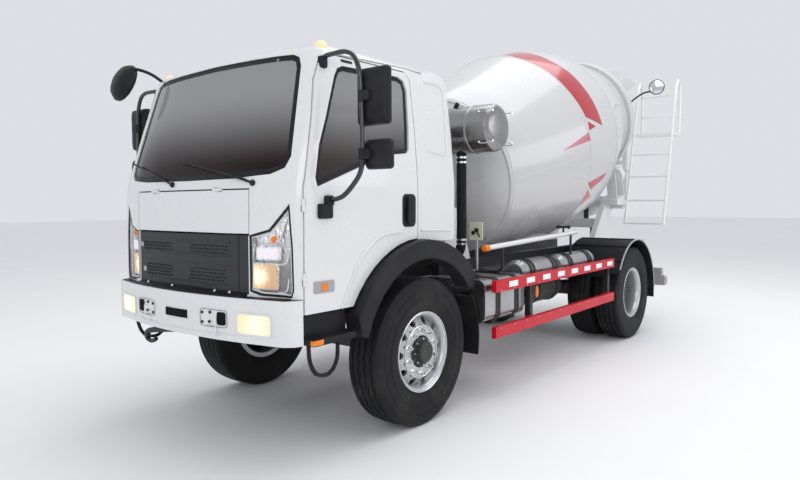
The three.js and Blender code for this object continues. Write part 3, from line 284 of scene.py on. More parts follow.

# %% [markdown]
# ## Glass and lamps
# Cab glass is dark from outside, and the paler band at its top is a painted reflection of the sky's light.
# Lamp covers are clear, and what shows is the bowl, partly brightened by painted light, and the bulb behind them.

# %% Glass and lamp finishes
def glass_with_painted_sky(name, low, high):
    s = Shader(name, Specular_IOR_Level=0.22, IOR=1.4)
    height = s.axes()[2]
    cloud = s.noise(0.5, 2.0)
    # Painted reflection: the colour runs from dark brown low down to a pale grey band at the top, standing for the
    # sky's light in the glass.
    shade = s.ramp(height, low, high)
    warm = s.mix(shade, (0.014, 0.006, 0.005, 1), (0.30, 0.298, 0.298, 1))
    s.set("Base Color", warm)
    s.set("Roughness", s.ramp(cloud, 0.3, 0.7, 0.05, 0.09))
    s.set("Alpha", 0.93)
    return s.material


def lit(name, colour, glow, strength):
    s = Shader(name, Roughness=0.2, Emission_Strength=strength)
    cells = s.noise(0.012, 1.0)
    s.set("Base Color", s.mix(cells * 0.5, colour, tuple(c * 0.6 for c in colour[:3]) + (1.0,)))
    s.set("Emission Color", glow)
    s.bump(cells, 0.002, 0.3)
    return s.material


def glowing(name, spot, reach, hot, warm, strength):
    """A lit lamp: hottest at a spot (distance from the middle plane, height), warmer further out."""
    s = Shader(name, Roughness=0.15, Emission_Strength=strength, Base_Color=(0.2, 0.17, 0.13, 1))
    x, y, z = s.axes()
    across, rise = s.maths("ABSOLUTE", x, 0.0) - spot[0], z - spot[1]
    away = s.maths("SQRT", across * across + rise * rise, 0.0)
    cells = s.noise(0.016, 2.0)
    share = s.ramp(away + cells * (reach[1] * 0.9), reach[0] + reach[1] * 0.36, reach[1] * 1.35)
    s.set("Emission Color", s.mix(share, hot, warm))
    s.bump(cells, 0.004, 0.5)
    return s.material


def faceted_with_painted_light(name, low_colour, high_colour, level, metallic, size):
    """Moulded facets, as inside a lamp, with painted light: their colour runs from dark low down to bright higher up.
    """
    s = Shader(name, Metallic=metallic, Roughness=0.16)
    facets, height = s.noise(size, 1.0, (1, 1, 0.5)), s.axes()[2]
    share = s.ramp(height + facets * 0.3, level + 0.02, level + 0.32)
    s.set("Base Color", s.mix(share, low_colour, high_colour))
    s.bump(facets, 0.02, 0.9)
    return s.material


WINDOW = glass_with_painted_sky("dark_window_glass", 1.75, 2.25)
FOG_LIT = glowing("fog_lamp_lit", (0.70, 0.86), (0.03, 0.14), (1.0, 1.0, 0.84, 1), (0.88, 0.86, 0.5, 1), 0.85)
HEAD_LIT = glowing("headlamp_lit", (0.655, 1.13), (0.02, 0.10), (1.0, 0.88, 0.58, 1), (0.40, 0.19, 0.05, 1), 1.3)
AMBER = lit("amber_lens", (0.8, 0.2, 0.004, 1), (1.0, 0.26, 0.0, 1), 0.12)
ROOF_LAMP = lit("roof_lamp_lens", (0.95, 0.7, 0.4, 1), (1.0, 0.7, 0.4, 1), 0.35)
RED_LENS = lit("red_lens", (0.42, 0.004, 0.004, 1), (1.0, 0.02, 0.02, 1), 0.1)


def clear_cover():
    s = Shader("clear_lamp_cover", Roughness=0.03, IOR=1.45, Base_Color=(0.9, 0.92, 0.94, 1))
    s.set("Alpha", s.ramp(s.noise(0.2, 1.0), 0.2, 0.8, 0.07, 0.11))
    return s.material


LAMP_COVER = clear_cover()

# %% [markdown]
# ## Building meshes from outlines
# Most truck parts are an outline pushed along one axis, an outline spun about an axis, or a bar bent
# along a path. One small class collects such shapes into one mesh.

# %% A collector of simple shapes
def smooth_curve(points, steps):
    """Points along a curve that passes through the given ones."""
    pts = [Vector(p) for p in points]
    ends = [pts[0] * 2 - pts[1], *pts, pts[-1] * 2 - pts[-2]]
    made = []
    for i in range(1, len(ends) - 2):
        a, b, c, d = ends[i - 1:i + 3]
        for k in range(steps):
            t = k / steps
            made.append(0.5 * (2 * b + (c - a) * t + (2 * a - 5 * b + 4 * c - d) * t * t
                               + (3 * b - a - 3 * c + d) * t ** 3))
    return made + [pts[-1]]


class Form:
    def __init__(self):
        self.bm = bmesh.new()

    def ring(self, points):
        return [self.bm.verts.new(p) for p in points]

    def skin(self, rings, closed=True, caps=True, wrap=False):
        pairs = list(zip(rings, rings[1:]))
        if wrap:
            pairs.append((rings[-1], rings[0]))
        count = len(rings[0])
        for a, b in pairs:
            for i in range(count if closed else count - 1):
                j = (i + 1) % count
                self.bm.faces.new((a[i], a[j], b[j], b[i]))
        if caps and not wrap:
            self.bm.faces.new(rings[0][::-1])
            self.bm.faces.new(rings[-1])
        return self

    def box(self, low, high):
        (x0, y0, z0), (x1, y1, z1) = low, high
        plan = [(x0, y0), (x1, y0), (x1, y1), (x0, y1)]
        return self.skin([self.ring([(x, y, z) for x, y in plan]) for z in (z0, z1)])

    def spin(self, profile, centre, axis=(1, 0, 0), count=48, caps=True):
        """Spins (distance along the axis, radius) pairs about the axis."""
        turn = Vector(axis).to_track_quat("Z", "X").to_matrix()
        rings = []
        for along, radius in profile:
            radius = max(radius, 0.0004)
            rings.append(self.ring([
                Vector(centre) + turn @ Vector((
                    radius * math.cos(2 * math.pi * i / count),
                    radius * math.sin(2 * math.pi * i / count), along)) for i in range(count)]))
        return self.skin(rings, caps=caps)

    def bar(self, points, radius, count=12, loop=False):
        pts = [Vector(p) for p in points]
        rings, side = [], None
        for i, p in enumerate(pts):
            ahead = pts[(i + 1) % len(pts)] if loop or i + 1 < len(pts) else p
            behind = pts[i - 1] if loop or i else p
            along = (ahead - behind).normalized()
            if side is None:
                side = along.orthogonal().normalized()
            side = (side - along * side.dot(along)).normalized()
            up = along.cross(side)
            rings.append(self.ring([
                p + radius * (side * math.cos(2 * math.pi * k / count)
                              + up * math.sin(2 * math.pi * k / count)) for k in range(count)]))
        return self.skin(rings, caps=not loop, wrap=loop)

    def ball(self, centre, radius, squash=(1, 1, 1), count=20):
        rings = []
        for i in range(1, count // 2):
            a = math.pi * i / (count // 2)
            rings.append(self.ring([Vector(centre) + Vector((
                radius * squash[0] * math.sin(a) * math.cos(2 * math.pi * k / count),
                radius * squash[1] * math.sin(a) * math.sin(2 * math.pi * k / count),
                radius * squash[2] * math.cos(a))) for k in range(count)]))
        return self.skin(rings)


def crease(bm, degrees):
    for face in bm.faces:
        face.smooth = True
    for edge in bm.edges:
        sharp = len(edge.link_faces) != 2 or edge.calc_face_angle(0.0) > math.radians(degrees)
        edge.smooth = not sharp


def place(name, bm, material, body, slot, stands_for=(), bevel=0.0, degrees=32, recalc=True):
    if recalc:
        bmesh.ops.recalc_face_normals(bm, faces=bm.faces)
    crease(bm, degrees)
    mesh = bpy.data.meshes.new(name)
    bm.to_mesh(mesh)
    bm.free()
    made = bpy.data.objects.new(name, mesh)
    bpy.context.scene.collection.objects.link(made)
    mesh.materials.append(material)
    if bevel:
        soften(made, bevel)
    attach(made, body)
    if stands_for:
        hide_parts(*stands_for)
    return made


def soften(made, width, segments=2):
    rounding = made.modifiers.new("rounded edges", "BEVEL")
    rounding.width = width
    rounding.segments = segments
    rounding.limit_method = "ANGLE"
    rounding.angle_limit = math.radians(38)
    rounding.harden_normals = True
    rounding.use_clamp_overlap = True


# %% [markdown]
# ## Rounding the edges of the frame's own parts
# No pressed or welded part has a perfectly sharp edge; a thin line of light runs along each one. The
# CAD mesh itself is left alone: a copy is merged, flat triangles are joined, and its edges are rounded.

# %% Dressed copies of CAD nodes
def body_of(node):
    return next(b for b, members in frame["record"]["behaviour"]["bodies"].items() if node in members)


SLOTS = {entry["node"]: entry["material_slot"] for entry in frame["record"]["subparts"]}


def dressed(node, material, bevel=0.003, degrees=32):
    bm = bmesh.new()
    bm.from_mesh(nodes[node].data)
    bmesh.ops.remove_doubles(bm, verts=bm.verts, dist=0.00002)
    bmesh.ops.dissolve_limit(bm, angle_limit=math.radians(1.2), verts=bm.verts, edges=bm.edges)
    return place(node + "_skin", bm, material, body_of(node), SLOTS[node], (node,), bevel, degrees, False)


plain_parts = {
    "frame": (FRAME_BLACK, 0.003), "front_axle": (FRAME_BLACK, 0.003), "rear_axle": (FRAME_BLACK, 0.003),
    "engine": (FRAME_BLACK, 0.02), "propshaft": (FRAME_BLACK, 0.002), "battery_box": (BLACK_PLASTIC, 0.004),
    "rear_underrun": (GREY_PAINT, 0.006), "cab_step_left": (BLACK_PLASTIC, 0.003),
    "cab_step_right": (BLACK_PLASTIC, 0.003), "front_mudguard_left": (RUBBER, 0.003),
    "front_mudguard_right": (RUBBER, 0.003), "rear_mudguard_left": (BLACK_PLASTIC, 0.004),
    "rear_mudguard_right": (BLACK_PLASTIC, 0.004), "side_guard_left": (RED, 0.006),
    "side_guard_right": (RED, 0.006), "front_pedestal": (STEEL_WHITE, 0.003),
    "drum_gearbox": (GREY_PAINT, 0.006), "rear_pedestal": (STEEL_WHITE, 0.003),
    "hopper": (STEEL_WHITE, 0.003), "discharge_trough": (STEEL_WHITE, 0.003),
    "ladder": (STEEL_WHITE, 0.001), "chute_bracket": (FRAME_BLACK, 0.003), "chute": (STEEL_WHITE, 0.002),
    "cab_body": (WHITE, 0.003), "front_panel": (WHITE, 0.004), "door_left": (WHITE, 0.004),
    "door_right": (WHITE, 0.004), "front_bumper": (WHITE, 0.008), "arch_flare_left": (BLACK_PLASTIC, 0.01),
    "arch_flare_right": (BLACK_PLASTIC, 0.01), "dashboard": (BLACK_PLASTIC, 0.008),
    "kerb_mirror": (BLACK_PLASTIC, 0.003), "knuckle_left": (FRAME_BLACK, 0.003),
    "knuckle_right": (FRAME_BLACK, 0.003), "windscreen": (WINDOW, 0.0), "door_glass_left": (WINDOW, 0.0),
    "door_glass_right": (WINDOW, 0.0), "grille": (GRILLE_PLASTIC, 0.004), "muffler": (FRAME_BLACK, 0.004),
}
for node, (material, bevel) in plain_parts.items():
    dressed(node, material, bevel)
print(len(plain_parts), "frame parts have rounded, painted skins")

# %% Rays that find the surface under a piece of trim
trees = {}


def surface_under(node, point, direction):
    """Where a straight line from a point first meets a CAD node, or None."""
    if node not in trees:
        data = nodes[node].data
        trees[node] = BVHTree.FromPolygons([v.co for v in data.vertices],
                                           [tuple(p.vertices) for p in data.polygons])
    return trees[node].ray_cast(point, direction)[0]


# %% [markdown]
# ## Repeats with Geometry Nodes
# Nuts, rivets, ribs and reflectors are one small shape many times over. A node tree puts that shape on
# each point of a mesh, turned as the point's own attribute says, so one edit changes them all.

# %% A node tree that puts a small shape on every point
def repeat_tree(name, shape, sizes, material):
    tree = bpy.data.node_groups.new(name, "GeometryNodeTree")
    face = tree.interface
    face.new_socket("Geometry", in_out="INPUT", socket_type="NodeSocketGeometry")
    kinds = {int: "NodeSocketInt", float: "NodeSocketFloat", tuple: "NodeSocketVector"}
    keys = {k: face.new_socket(k, in_out="INPUT", socket_type=kinds[type(v)]).identifier
            for k, v in sizes.items()}
    face.new_socket("Geometry", in_out="OUTPUT", socket_type="NodeSocketGeometry")
    add, link = tree.nodes.new, tree.links.new
    start, end, unit = add("NodeGroupInput"), add("NodeGroupOutput"), add(shape)
    for key in sizes:
        link(start.outputs[key], unit.inputs[key])
    turn = add("GeometryNodeInputNamedAttribute")
    turn.data_type = "FLOAT_VECTOR"
    turn.inputs["Name"].default_value = "turn"
    euler = add("FunctionNodeEulerToRotation")
    link(turn.outputs["Attribute"], euler.inputs[0])
    spread, real, paint = (add("GeometryNodeInstanceOnPoints"), add("GeometryNodeRealizeInstances"),
                           add("GeometryNodeSetMaterial"))
    paint.inputs["Material"].default_value = material
    link(start.outputs["Geometry"], spread.inputs["Points"])
    link(unit.outputs["Mesh"], spread.inputs["Instance"])
    link(euler.outputs[0], spread.inputs["Rotation"])
    link(spread.outputs["Instances"], real.inputs["Geometry"])
    link(real.outputs["Geometry"], paint.inputs["Geometry"])
    link(paint.outputs["Geometry"], end.inputs["Geometry"])
    return tree, keys


SHAPES = {"cylinder": "GeometryNodeMeshCylinder", "box": "GeometryNodeMeshCube", "ball": "GeometryNodeMeshUVSphere"}


def repeat(name, shape, points, facing, sizes, material, body, bevel=0.0):
    """One small shape on every point. Its own Z turns to face the direction given."""
    mesh = bpy.data.meshes.new(name)
    mesh.from_pydata([tuple(p) for p in points], [], [])
    if not isinstance(facing, list):
        facing = [facing] * len(points)
    turns = mesh.attributes.new("turn", "FLOAT_VECTOR", "POINT")
    for i, way in enumerate(facing):
        turns.data[i].vector = Vector(way).to_track_quat("Z", "Y").to_euler()
    made = bpy.data.objects.new(name, mesh)
    bpy.context.scene.collection.objects.link(made)
    tree, keys = repeat_tree(name, SHAPES[shape], sizes, material)
    modifier = made.modifiers.new("repeat", "NODES")
    modifier.node_group = tree
    for key, value in sizes.items():
        modifier[keys[key]] = value
    solid = bpy.data.meshes.new_from_object(made.evaluated_get(bpy.context.evaluated_depsgraph_get()))
    made.modifiers.remove(modifier)
    made.data = solid
    solid.name = name
    if bevel:
        soften(made, bevel, 1)
    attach(made, body)
    return made


def ring_of(centre, axis, radius, count, start=0.0):
    turn = Vector(axis).to_track_quat("Z", "X").to_matrix()
    return [Vector(centre) + turn @ Vector((
        radius * math.cos(2 * math.pi * (i + start) / count),
        radius * math.sin(2 * math.pi * (i + start) / count), 0)) for i in range(count)]


def line_of(a, b, count):
    return [Vector(a).lerp(Vector(b), i / (count - 1)) for i in range(count)]


# %% [markdown]
# ## Trim that follows a surface
# Window borders, badges, reflectors and covers lie on curved panels. Rays sent at the panel find
# where it is under each point of the trim's outline, so the piece bends exactly as the panel does.

# %% Outlines laid on a surface
WAYS = {"front": Vector((0, 1, 0)), "left": Vector((-1, 0, 0)), "right": Vector((1, 0, 0)),
        "rear": Vector((0, -1, 0))}


def flat_point(way, u, v):
    """A start for a ray: (x, z) when looking along y, (y, z) when looking along x."""
    if way in ("front", "rear"):
        return at(u, 0, v) - WAYS[way] * 9
    return at(0, u, v) - WAYS[way] * 9


def resampled(outline, step):
    made = []
    for a, b in zip(outline, outline[1:] + outline[:1]):
        count = max(1, round(math.dist(a, b) / step))
        made += [tuple(p + (q - p) * k / count for p, q in zip(a, b)) for k in range(count)]
    return made


def inset(outline, width):
    """The outline moved inwards by the width, vertex by vertex."""
    area = sum(a[0] * b[1] - b[0] * a[1] for a, b in zip(outline, outline[1:] + outline[:1]))
    side = 1 if area > 0 else -1
    made = []
    for i, p in enumerate(outline):
        a, b = outline[i - 2], outline[(i + 2) % len(outline)]
        along = Vector((b[0] - a[0], b[1] - a[1])).normalized()
        made.append((p[0] - along.y * width * side, p[1] + along.x * width * side))
    return made


def laid(node, way, outline, lift):
    """The outline's points on the node's surface, lifted towards the eye."""
    hits = [surface_under(node, flat_point(way, u, v), WAYS[way]) for u, v in outline]
    found = [h for h in hits if h is not None]
    axis = 1 if way in ("front", "rear") else 0
    usual = sum(h[axis] for h in found) / len(found)
    made = []
    for (u, v), hit in zip(outline, hits):
        point = flat_point(way, u, v)
        point[axis] = usual if hit is None else hit[axis]
        made.append(point - WAYS[way] * lift)
    return made


def rounded(u0, u1, v0, v1, radius, steps=4):
    made = []
    for cu, cv, start in ((u1 - radius, v0 + radius, -90), (u1 - radius, v1 - radius, 0),
                          (u0 + radius, v1 - radius, 90), (u0 + radius, v0 + radius, 180)):
        for k in range(steps + 1):
            a = math.radians(start + 90 * k / steps)
            made.append((cu + radius * math.cos(a), cv + radius * math.sin(a)))
    return made


def patch(name, node, way, outline, lift, thick, material, slot, bevel=0.0):
    """A solid cover of the outline's shape, lying on the node."""
    form = Form()
    top = laid(node, way, outline, lift)
    form.skin([form.ring(top), form.ring([p + WAYS[way] * thick for p in top])])
    return place(name, form.bm, material, body_of(node), slot, bevel=bevel)


def border(name, node, way, outline, width, lift, thick, material, slot):
    """A band of even width just inside the outline, lying on the node."""
    fine = resampled(outline, 0.03)
    outer, inner = inset(fine, 0.003), inset(fine, width)
    form = Form()
    rings = [laid(node, way, shape, up) for shape, up in (
        (outer, lift - thick), (outer, lift), (inner, lift), (inner, lift - thick))]
    form.skin([form.ring(r) for r in rings], wrap=True)
    return place(name, form.bm, material, body_of(node), slot)


def mirrored(outline):
    return [(-u, v) for u, v in outline][::-1]


def sided(sign, outline):
    """The outline as drawn for the truck's left side, or mirrored for its right."""
    return outline if sign > 0 else mirrored(outline)


# %% [markdown]
# ## The cab's glass borders and wipers
# Bonded glass has a black printed edge that hides the glue. The wipers rest just above it: a thin
# sprung arm and a blade each.

# %% Window borders
SCREEN_HALF = [(0, 1.690), (0.48, 1.695), (0.74, 1.714), (0.822, 1.748), (0.846, 1.812), (0.838, 1.88),
               (0.776, 2.35), (0.752, 2.404), (0.704, 2.426), (0, 2.44)]
SCREEN = SCREEN_HALF + [(-x, z) for x, z in SCREEN_HALF[-2:0:-1]]
SIDE_WINDOW = [(-0.975, 1.64), (-0.59, 1.772), (-0.3, 1.858), (-0.135, 1.876), (-0.113, 1.9), (-0.078, 2.3),
               (-0.1, 2.362), (-0.16, 2.384), (-0.69, 2.372), (-0.738, 2.35), (-0.77, 2.3), (-0.945, 1.88),
               (-0.99, 1.69)]
border("windscreen_border", "windscreen", "front", SCREEN, 0.034, 0.0016, 0.001, BLACK_PLASTIC, "black_plastic")
for side in ("left", "right"):
    border(f"window_border_{side}", f"door_glass_{side}", side, SIDE_WINDOW, 0.03, 0.0016, 0.001,
           BLACK_PLASTIC, "black_plastic")


# %% Wipers
def wiper(name, tip, elbow, pivot):
    tip, elbow, pivot = at(*tip), at(*elbow), at(*pivot)
    out = Vector((0, -0.022, 0.008))
    form = Form()
    form.bar(smooth_curve([pivot + out * 0.4, pivot.lerp(elbow, 0.5) + out * 1.6, elbow + out], 8), 0.007, 8)
    way = (tip - elbow).normalized()
    form.bar(line_of(tip + out * 0.5, elbow - way * 0.27 + out * 0.5, 6), 0.006, 8)
    form.bar(line_of(tip + out * 0.9, elbow - way * 0.2 + out * 0.95, 4), 0.004, 6)
    form.spin([(-0.03, 0.016), (0.012, 0.018), (0.02, 0.01)], pivot, (0, -0.9, 0.4), 14)
    place(name, form.bm, BLACK_PLASTIC, "cab", "black_plastic")


wiper("wiper_right", (-0.75, -1.125, 1.83), (-0.503, -1.157, 1.769), (-0.144, -1.207, 1.671))
wiper("wiper_left", (-0.101, -1.168, 1.813), (0.323, -1.179, 1.733), (0.634, -1.179, 1.665))

# %% [markdown]
# ## Small parts on the cab's sides
# Each side has a pull handle in a black well, a marker lamp, a vent at the screen pillar and a white
# lip round the wheel arch. They are laid on the panel that carries them.

# %% Handles, markers, vents and pressed lines
ARCH_LIP = [(-0.787, 0.919), (-0.711, 1.052), (-0.63, 1.188), (-0.452, 1.325), (-0.23, 1.357)]
ARCH_LIP_REAR = [(0.0, 1.356), (0.2, 1.352), (0.364, 1.345)]
PRESSED = [(0.129, 2.39), (0.303, 2.388), (0.344, 2.308), (0.33, 2.1), (0.319, 1.912), (0.28, 1.89), (0.112, 1.906)]
HANDLE = rounded(-0.205, -0.062, 1.385, 1.605, 0.035)


def bead(name, node, way, points, radius, material, slot):
    """A thin round line lying along the node's surface."""
    curve = smooth_curve([(*p, 0) for p in points], 6)
    form = Form().bar(laid(node, way, [(p.x, p.y) for p in curve], radius * 0.2), radius, 8)
    return place(name, form.bm, material, body_of(node), slot)


for side in ("left", "right"):
    door = f"door_{side}"
    patch(f"handle_well_{side}", door, side, HANDLE, 0.003, 0.004, BLACK_PLASTIC, "black_plastic", 0.002)
    patch(f"handle_grip_{side}", door, side, rounded(-0.165, -0.105, 1.40, 1.59, 0.02), 0.024, 0.02,
          BLACK_PLASTIC, "black_plastic", 0.006)
    # Painted shade: a near-black patch deep in the handle well.
    patch(f"handle_well_shade_{side}", door, side, rounded(-0.185, -0.083, 1.43, 1.53, 0.03), 0.0045, 0.002,
          HOLLOW_SHADE, "black_plastic")
    patch(f"side_marker_{side}", door, side, rounded(-1.012, -0.848, 1.03, 1.10, 0.012), 0.006, 0.008,
          GREY_PAINT, "grey_paint", 0.002)
    patch(f"side_marker_lens_{side}", door, side, rounded(-0.955, -0.905, 1.042, 1.088, 0.01), 0.01, 0.006,
          AMBER, "lamp_lens", 0.002)
    patch(f"pillar_vent_{side}", door, side, rounded(-0.70, -0.60, 2.395, 2.412, 0.006), 0.002, 0.004,
          BLACK_PLASTIC, "black_plastic")
    bead(f"quarter_pressing_{side}", "cab_body", side, PRESSED, 0.006, WHITE, "white_paint")
    bead(f"arch_lip_rear_{side}", "cab_body", side, ARCH_LIP_REAR, 0.009, WHITE, "white_paint")
    bead(f"arch_lip_door_{side}", door, side, ARCH_LIP, 0.009, WHITE, "white_paint")
    bead(f"drip_rail_{side}", "cab_body", side, [(-0.7, 2.436), (-0.416, 2.446), (-0.099, 2.455), (0.12, 2.45)],
         0.005, GREY_PAINT, "grey_paint")
print("cab sides trimmed")

# %% [markdown]
# ## Tyres
# A tread is cut as straight ribs parted by zigzag grooves. Each slice of the tyre is the same outline
# with its groove edges pushed a little along the axle, so the slices joined in turn draw the zigzag.

# %% Tyres and rims
TYRE_R, TYRE_HALF, BEAD_R, BEAD_HALF = 0.515, 0.133, 0.258, 0.100
WHEELBASE, TWIN_HALF, MERGE = 3.775, 0.161, 0.0002
GROOVES = (-0.078, -0.027, 0.027, 0.078)
GROOVE_WIDTH, GROOVE_DEPTH, ZIGZAG, SLICES = 0.011, 0.014, 0.005, 144


def tyre_outline(shift):
    """(along the axle, radius) pairs of one slice, outer bead to inner bead."""
    wall = [(BEAD_HALF, BEAD_R), (BEAD_HALF + 0.006, BEAD_R + 0.02), (0.121, 0.30), (TYRE_HALF - 0.001, 0.36),
            (TYRE_HALF, 0.40), (TYRE_HALF - 0.003, 0.447), (TYRE_HALF - 0.001, 0.455),
            (TYRE_HALF - 0.006, 0.485), (0.119, 0.5), (0.112, 0.5105)]
    top = []
    for middle in reversed(GROOVES):
        crown = TYRE_R - 0.004 * (middle / 0.1) ** 2
        a, b = middle + GROOVE_WIDTH / 2 + shift, middle - GROOVE_WIDTH / 2 + shift
        top += [(a, crown), (a - 0.002, crown - GROOVE_DEPTH), (b + 0.002, crown - GROOVE_DEPTH), (b, crown)]
    return wall + top + [(-a, r) for a, r in wall[::-1]]


def tyre(form, centre):
    rings = []
    for i in range(SLICES):
        wave = abs(i % 4 - 2) - 1
        a = 2 * math.pi * i / SLICES
        rings.append(form.ring([centre + Vector((along, r * math.cos(a), r * math.sin(a)))
                                for along, r in tyre_outline(wave * ZIGZAG)]))
    form.skin(rings, wrap=True)


def holed_disc(form, centre, out, sectors, hole, inside, outside, thick):
    """A cone-shaped ring of plate with a round hole in each sector. inside and outside: (along, radius)."""
    step, around = 2 * math.pi / sectors, 20
    mid_r = (inside[1] + outside[1]) / 2

    def point(angle, radius, deep=0.0):
        share = (radius - inside[1]) / (outside[1] - inside[1])
        along = (inside[0] + (outside[0] - inside[0]) * share - deep) * out
        return centre + Vector((along, radius * math.cos(angle), radius * math.sin(angle)))

    for s in range(sectors):
        edge, rim = [], []
        for k in range(around):
            a = 2 * math.pi * k / around
            c, n = math.cos(a), math.sin(a)
            grow = 1 / max(abs(c), abs(n))
            radius = mid_r + (outside[1] - inside[1]) / 2 * n * grow
            edge.append((s * step + step / 2 * c * grow, radius))
            rim.append((s * step + hole * c / mid_r, mid_r + hole * n))
        rings = [form.ring([point(*p) for p in edge]), form.ring([point(*p) for p in rim]),
                 form.ring([point(*p, thick) for p in rim])]
        form.skin(rings, caps=False)


def lathe(form, profile, centre, out, caps=True):
    form.spin([(a * out, r) for a, r in profile], centre, (1, 0, 0), 64, caps)


def nuts(body, tag, centre, out, radius):
    spots = ring_of(centre, (out, 0, 0), radius, 10)
    facing = (out, 0, 0)
    repeat(f"{tag}_wheel_nuts", "cylinder", spots, facing, {"Vertices": 6, "Radius": 0.0185, "Depth": 0.028},
           CHROME, body, 0.002)
    repeat(f"{tag}_nut_washers", "cylinder", [s - Vector((0.013 * out, 0, 0)) for s in spots], facing,
           {"Vertices": 20, "Radius": 0.024, "Depth": 0.006}, CHROME, body)
    repeat(f"{tag}_studs", "cylinder", [s + Vector((0.016 * out, 0, 0)) for s in spots], facing,
           {"Vertices": 12, "Radius": 0.010, "Depth": 0.02}, GALVANISED, body, 0.001)


def front_wheel(side, out):
    body = f"front_wheel_{side}"
    centre = at(0.849 * out, 0, TYRE_R)
    rubber = Form()
    tyre(rubber, centre)
    place(f"front_tyre_{side}", rubber.bm, TYRE, body, "tyre", (body,), degrees=28)
    rim = Form()
    lathe(rim, [(0.112, 0.262), (0.116, 0.274), (0.112, 0.281), (0.106, 0.281), (0.104, 0.262),
                (-0.104, 0.262), (-0.104, 0.281), (-0.112, 0.281), (-0.112, 0.246), (-0.02, 0.226), (0.03, 0.236),
                (0.085, 0.243), (0.104, 0.252)], centre, out, caps=False)
    rim.skin([rim.ring([centre + Vector((a * out, r * math.cos(t), r * math.sin(t))) for t in
                        (2 * math.pi * i / 64 for i in range(64))]) for a, r in
              ((0.104, 0.252), (0.112, 0.262))], caps=False)
    holed_disc(rim, centre, out, 10, 0.0265, (0.088, 0.186), (0.048, 0.239), 0.022)
    lathe(rim, [(0.088, 0.186), (0.094, 0.178), (0.094, 0.112), (0.06, 0.108)], centre, out, caps=False)
    bmesh.ops.remove_doubles(rim.bm, verts=rim.bm.verts, dist=MERGE)
    place(f"front_rim_{side}", rim.bm, RIM_SILVER, body, "tank_aluminium", degrees=30)
    edges = Form()
    for along, radius, thick in ((0.0955, 0.181, 0.0045), (0.1165, 0.277, 0.005)):
        edges.bar(ring_of(centre + Vector((along * out, 0, 0)), (out, 0, 0), radius, 60), thick, 8, loop=True)
    place(f"front_rim_edges_{side}", edges.bm, CHROME, body, "tank_aluminium")
    walls = Form()
    for along, radius in ((TYRE_HALF - 0.0005, 0.372), (TYRE_HALF - 0.003, 0.43), (0.12, 0.315)):
        walls.bar(ring_of(centre + Vector((along * out, 0, 0)), (out, 0, 0), radius, 60), 0.003, 6, loop=True)
    place(f"front_tyre_ribs_{side}", walls.bm, TYRE, body, "tyre")
    # Painted shade: a near-black disc behind the wheel's holes stands for the shade inside the wheel.
    dark = Form()
    lathe(dark, [(0.02, 0.002), (0.022, 0.237), (0.01, 0.237), (0.008, 0.002)], centre, out)
    place(f"front_rim_shade_disc_{side}", dark.bm, HOLLOW_SHADE, body, "black_steel")
    hub = Form()
    lathe(hub, [(0.05, 0.107), (0.1, 0.104), (0.106, 0.098), (0.108, 0.078), (0.14, 0.074), (0.148, 0.066),
                (0.15, 0.05), (0.146, 0.03), (0.146, 0.002)], centre, out)
    place(f"front_hub_{side}", hub.bm, FRAME_BLACK, body, "black_steel", bevel=0.001)
    nuts(body, f"front_{side}", centre + Vector((0.106 * out, 0, 0)), out, 0.15)
    repeat(f"front_hub_bolts_{side}", "cylinder", ring_of(centre + Vector((0.112 * out, 0, 0)), (out, 0, 0), 0.09, 8),
           (out, 0, 0), {"Vertices": 6, "Radius": 0.007, "Depth": 0.012}, GALVANISED, body)


def rear_wheel(side, out):
    body = f"rear_wheel_{side}"
    centre = at(0.826 * out, WHEELBASE, TYRE_R)
    rubber = Form()
    for offset in (-TWIN_HALF, TWIN_HALF):
        tyre(rubber, centre + Vector((offset * out, 0, 0)))
    place(f"rear_tyres_{side}", rubber.bm, TYRE, body, "tyre", (body,), degrees=28)
    rim = Form()
    for offset, face in ((TWIN_HALF, 1), (-TWIN_HALF, -1)):
        middle = centre + Vector((offset * out, 0, 0))
        lathe(rim, [(0.104, 0.262), (0.112, 0.262), (0.116, 0.274), (0.112, 0.281), (0.106, 0.281),
                    (0.104, 0.262), (-0.104, 0.262), (-0.106, 0.281), (-0.112, 0.281), (-0.112, 0.246),
                    (0.06, 0.236), (0.09, 0.243), (0.104, 0.252)], middle, out * face, caps=False)
        lathe(rim, [(0.104, 0.252), (0.112, 0.262)], middle, out * face, caps=False)
    holed_disc(rim, centre, out, 10, 0.024, (0.034, 0.184), (0.012, 0.241), 0.02)
    lathe(rim, [(0.034, 0.184), (0.036, 0.178), (0.036, 0.14), (0.03, 0.12)], centre, out, caps=False)
    bmesh.ops.remove_doubles(rim.bm, verts=rim.bm.verts, dist=MERGE)
    place(f"rear_rim_{side}", rim.bm, RIM_SILVER, body, "tank_aluminium", degrees=30)
    # Painted shade: a near-black disc behind the wheel's holes stands for the shade inside the wheel.
    dark = Form()
    lathe(dark, [(-0.012, 0.002), (-0.012, 0.24), (-0.02, 0.24), (-0.02, 0.002)], centre, out)
    place(f"rear_rim_shade_disc_{side}", dark.bm, HOLLOW_SHADE, body, "black_steel")
    hub = Form()
    lathe(hub, [(0.02, 0.134), (0.06, 0.128), (0.1, 0.116), (0.15, 0.104), (0.166, 0.1), (0.172, 0.088),
                (0.172, 0.06), (0.166, 0.05), (0.166, 0.002)], centre, out)
    place(f"rear_hub_{side}", hub.bm, FRAME_BLACK, body, "black_steel", bevel=0.001)
    nuts(body, f"rear_{side}", centre + Vector((0.048 * out, 0, 0)), out, 0.158)
    bolt_ring = ring_of(centre + Vector((0.174 * out, 0, 0)), (out, 0, 0), 0.076, 10)
    repeat(f"rear_hub_bolts_{side}", "cylinder", bolt_ring, (out, 0, 0),
           {"Vertices": 6, "Radius": 0.008, "Depth": 0.012}, GALVANISED, body)


for side, out in (("left", 1), ("right", -1)):
    front_wheel(side, out)
    rear_wheel(side, out)
print("wheels done:", SLICES, "slices a tyre")

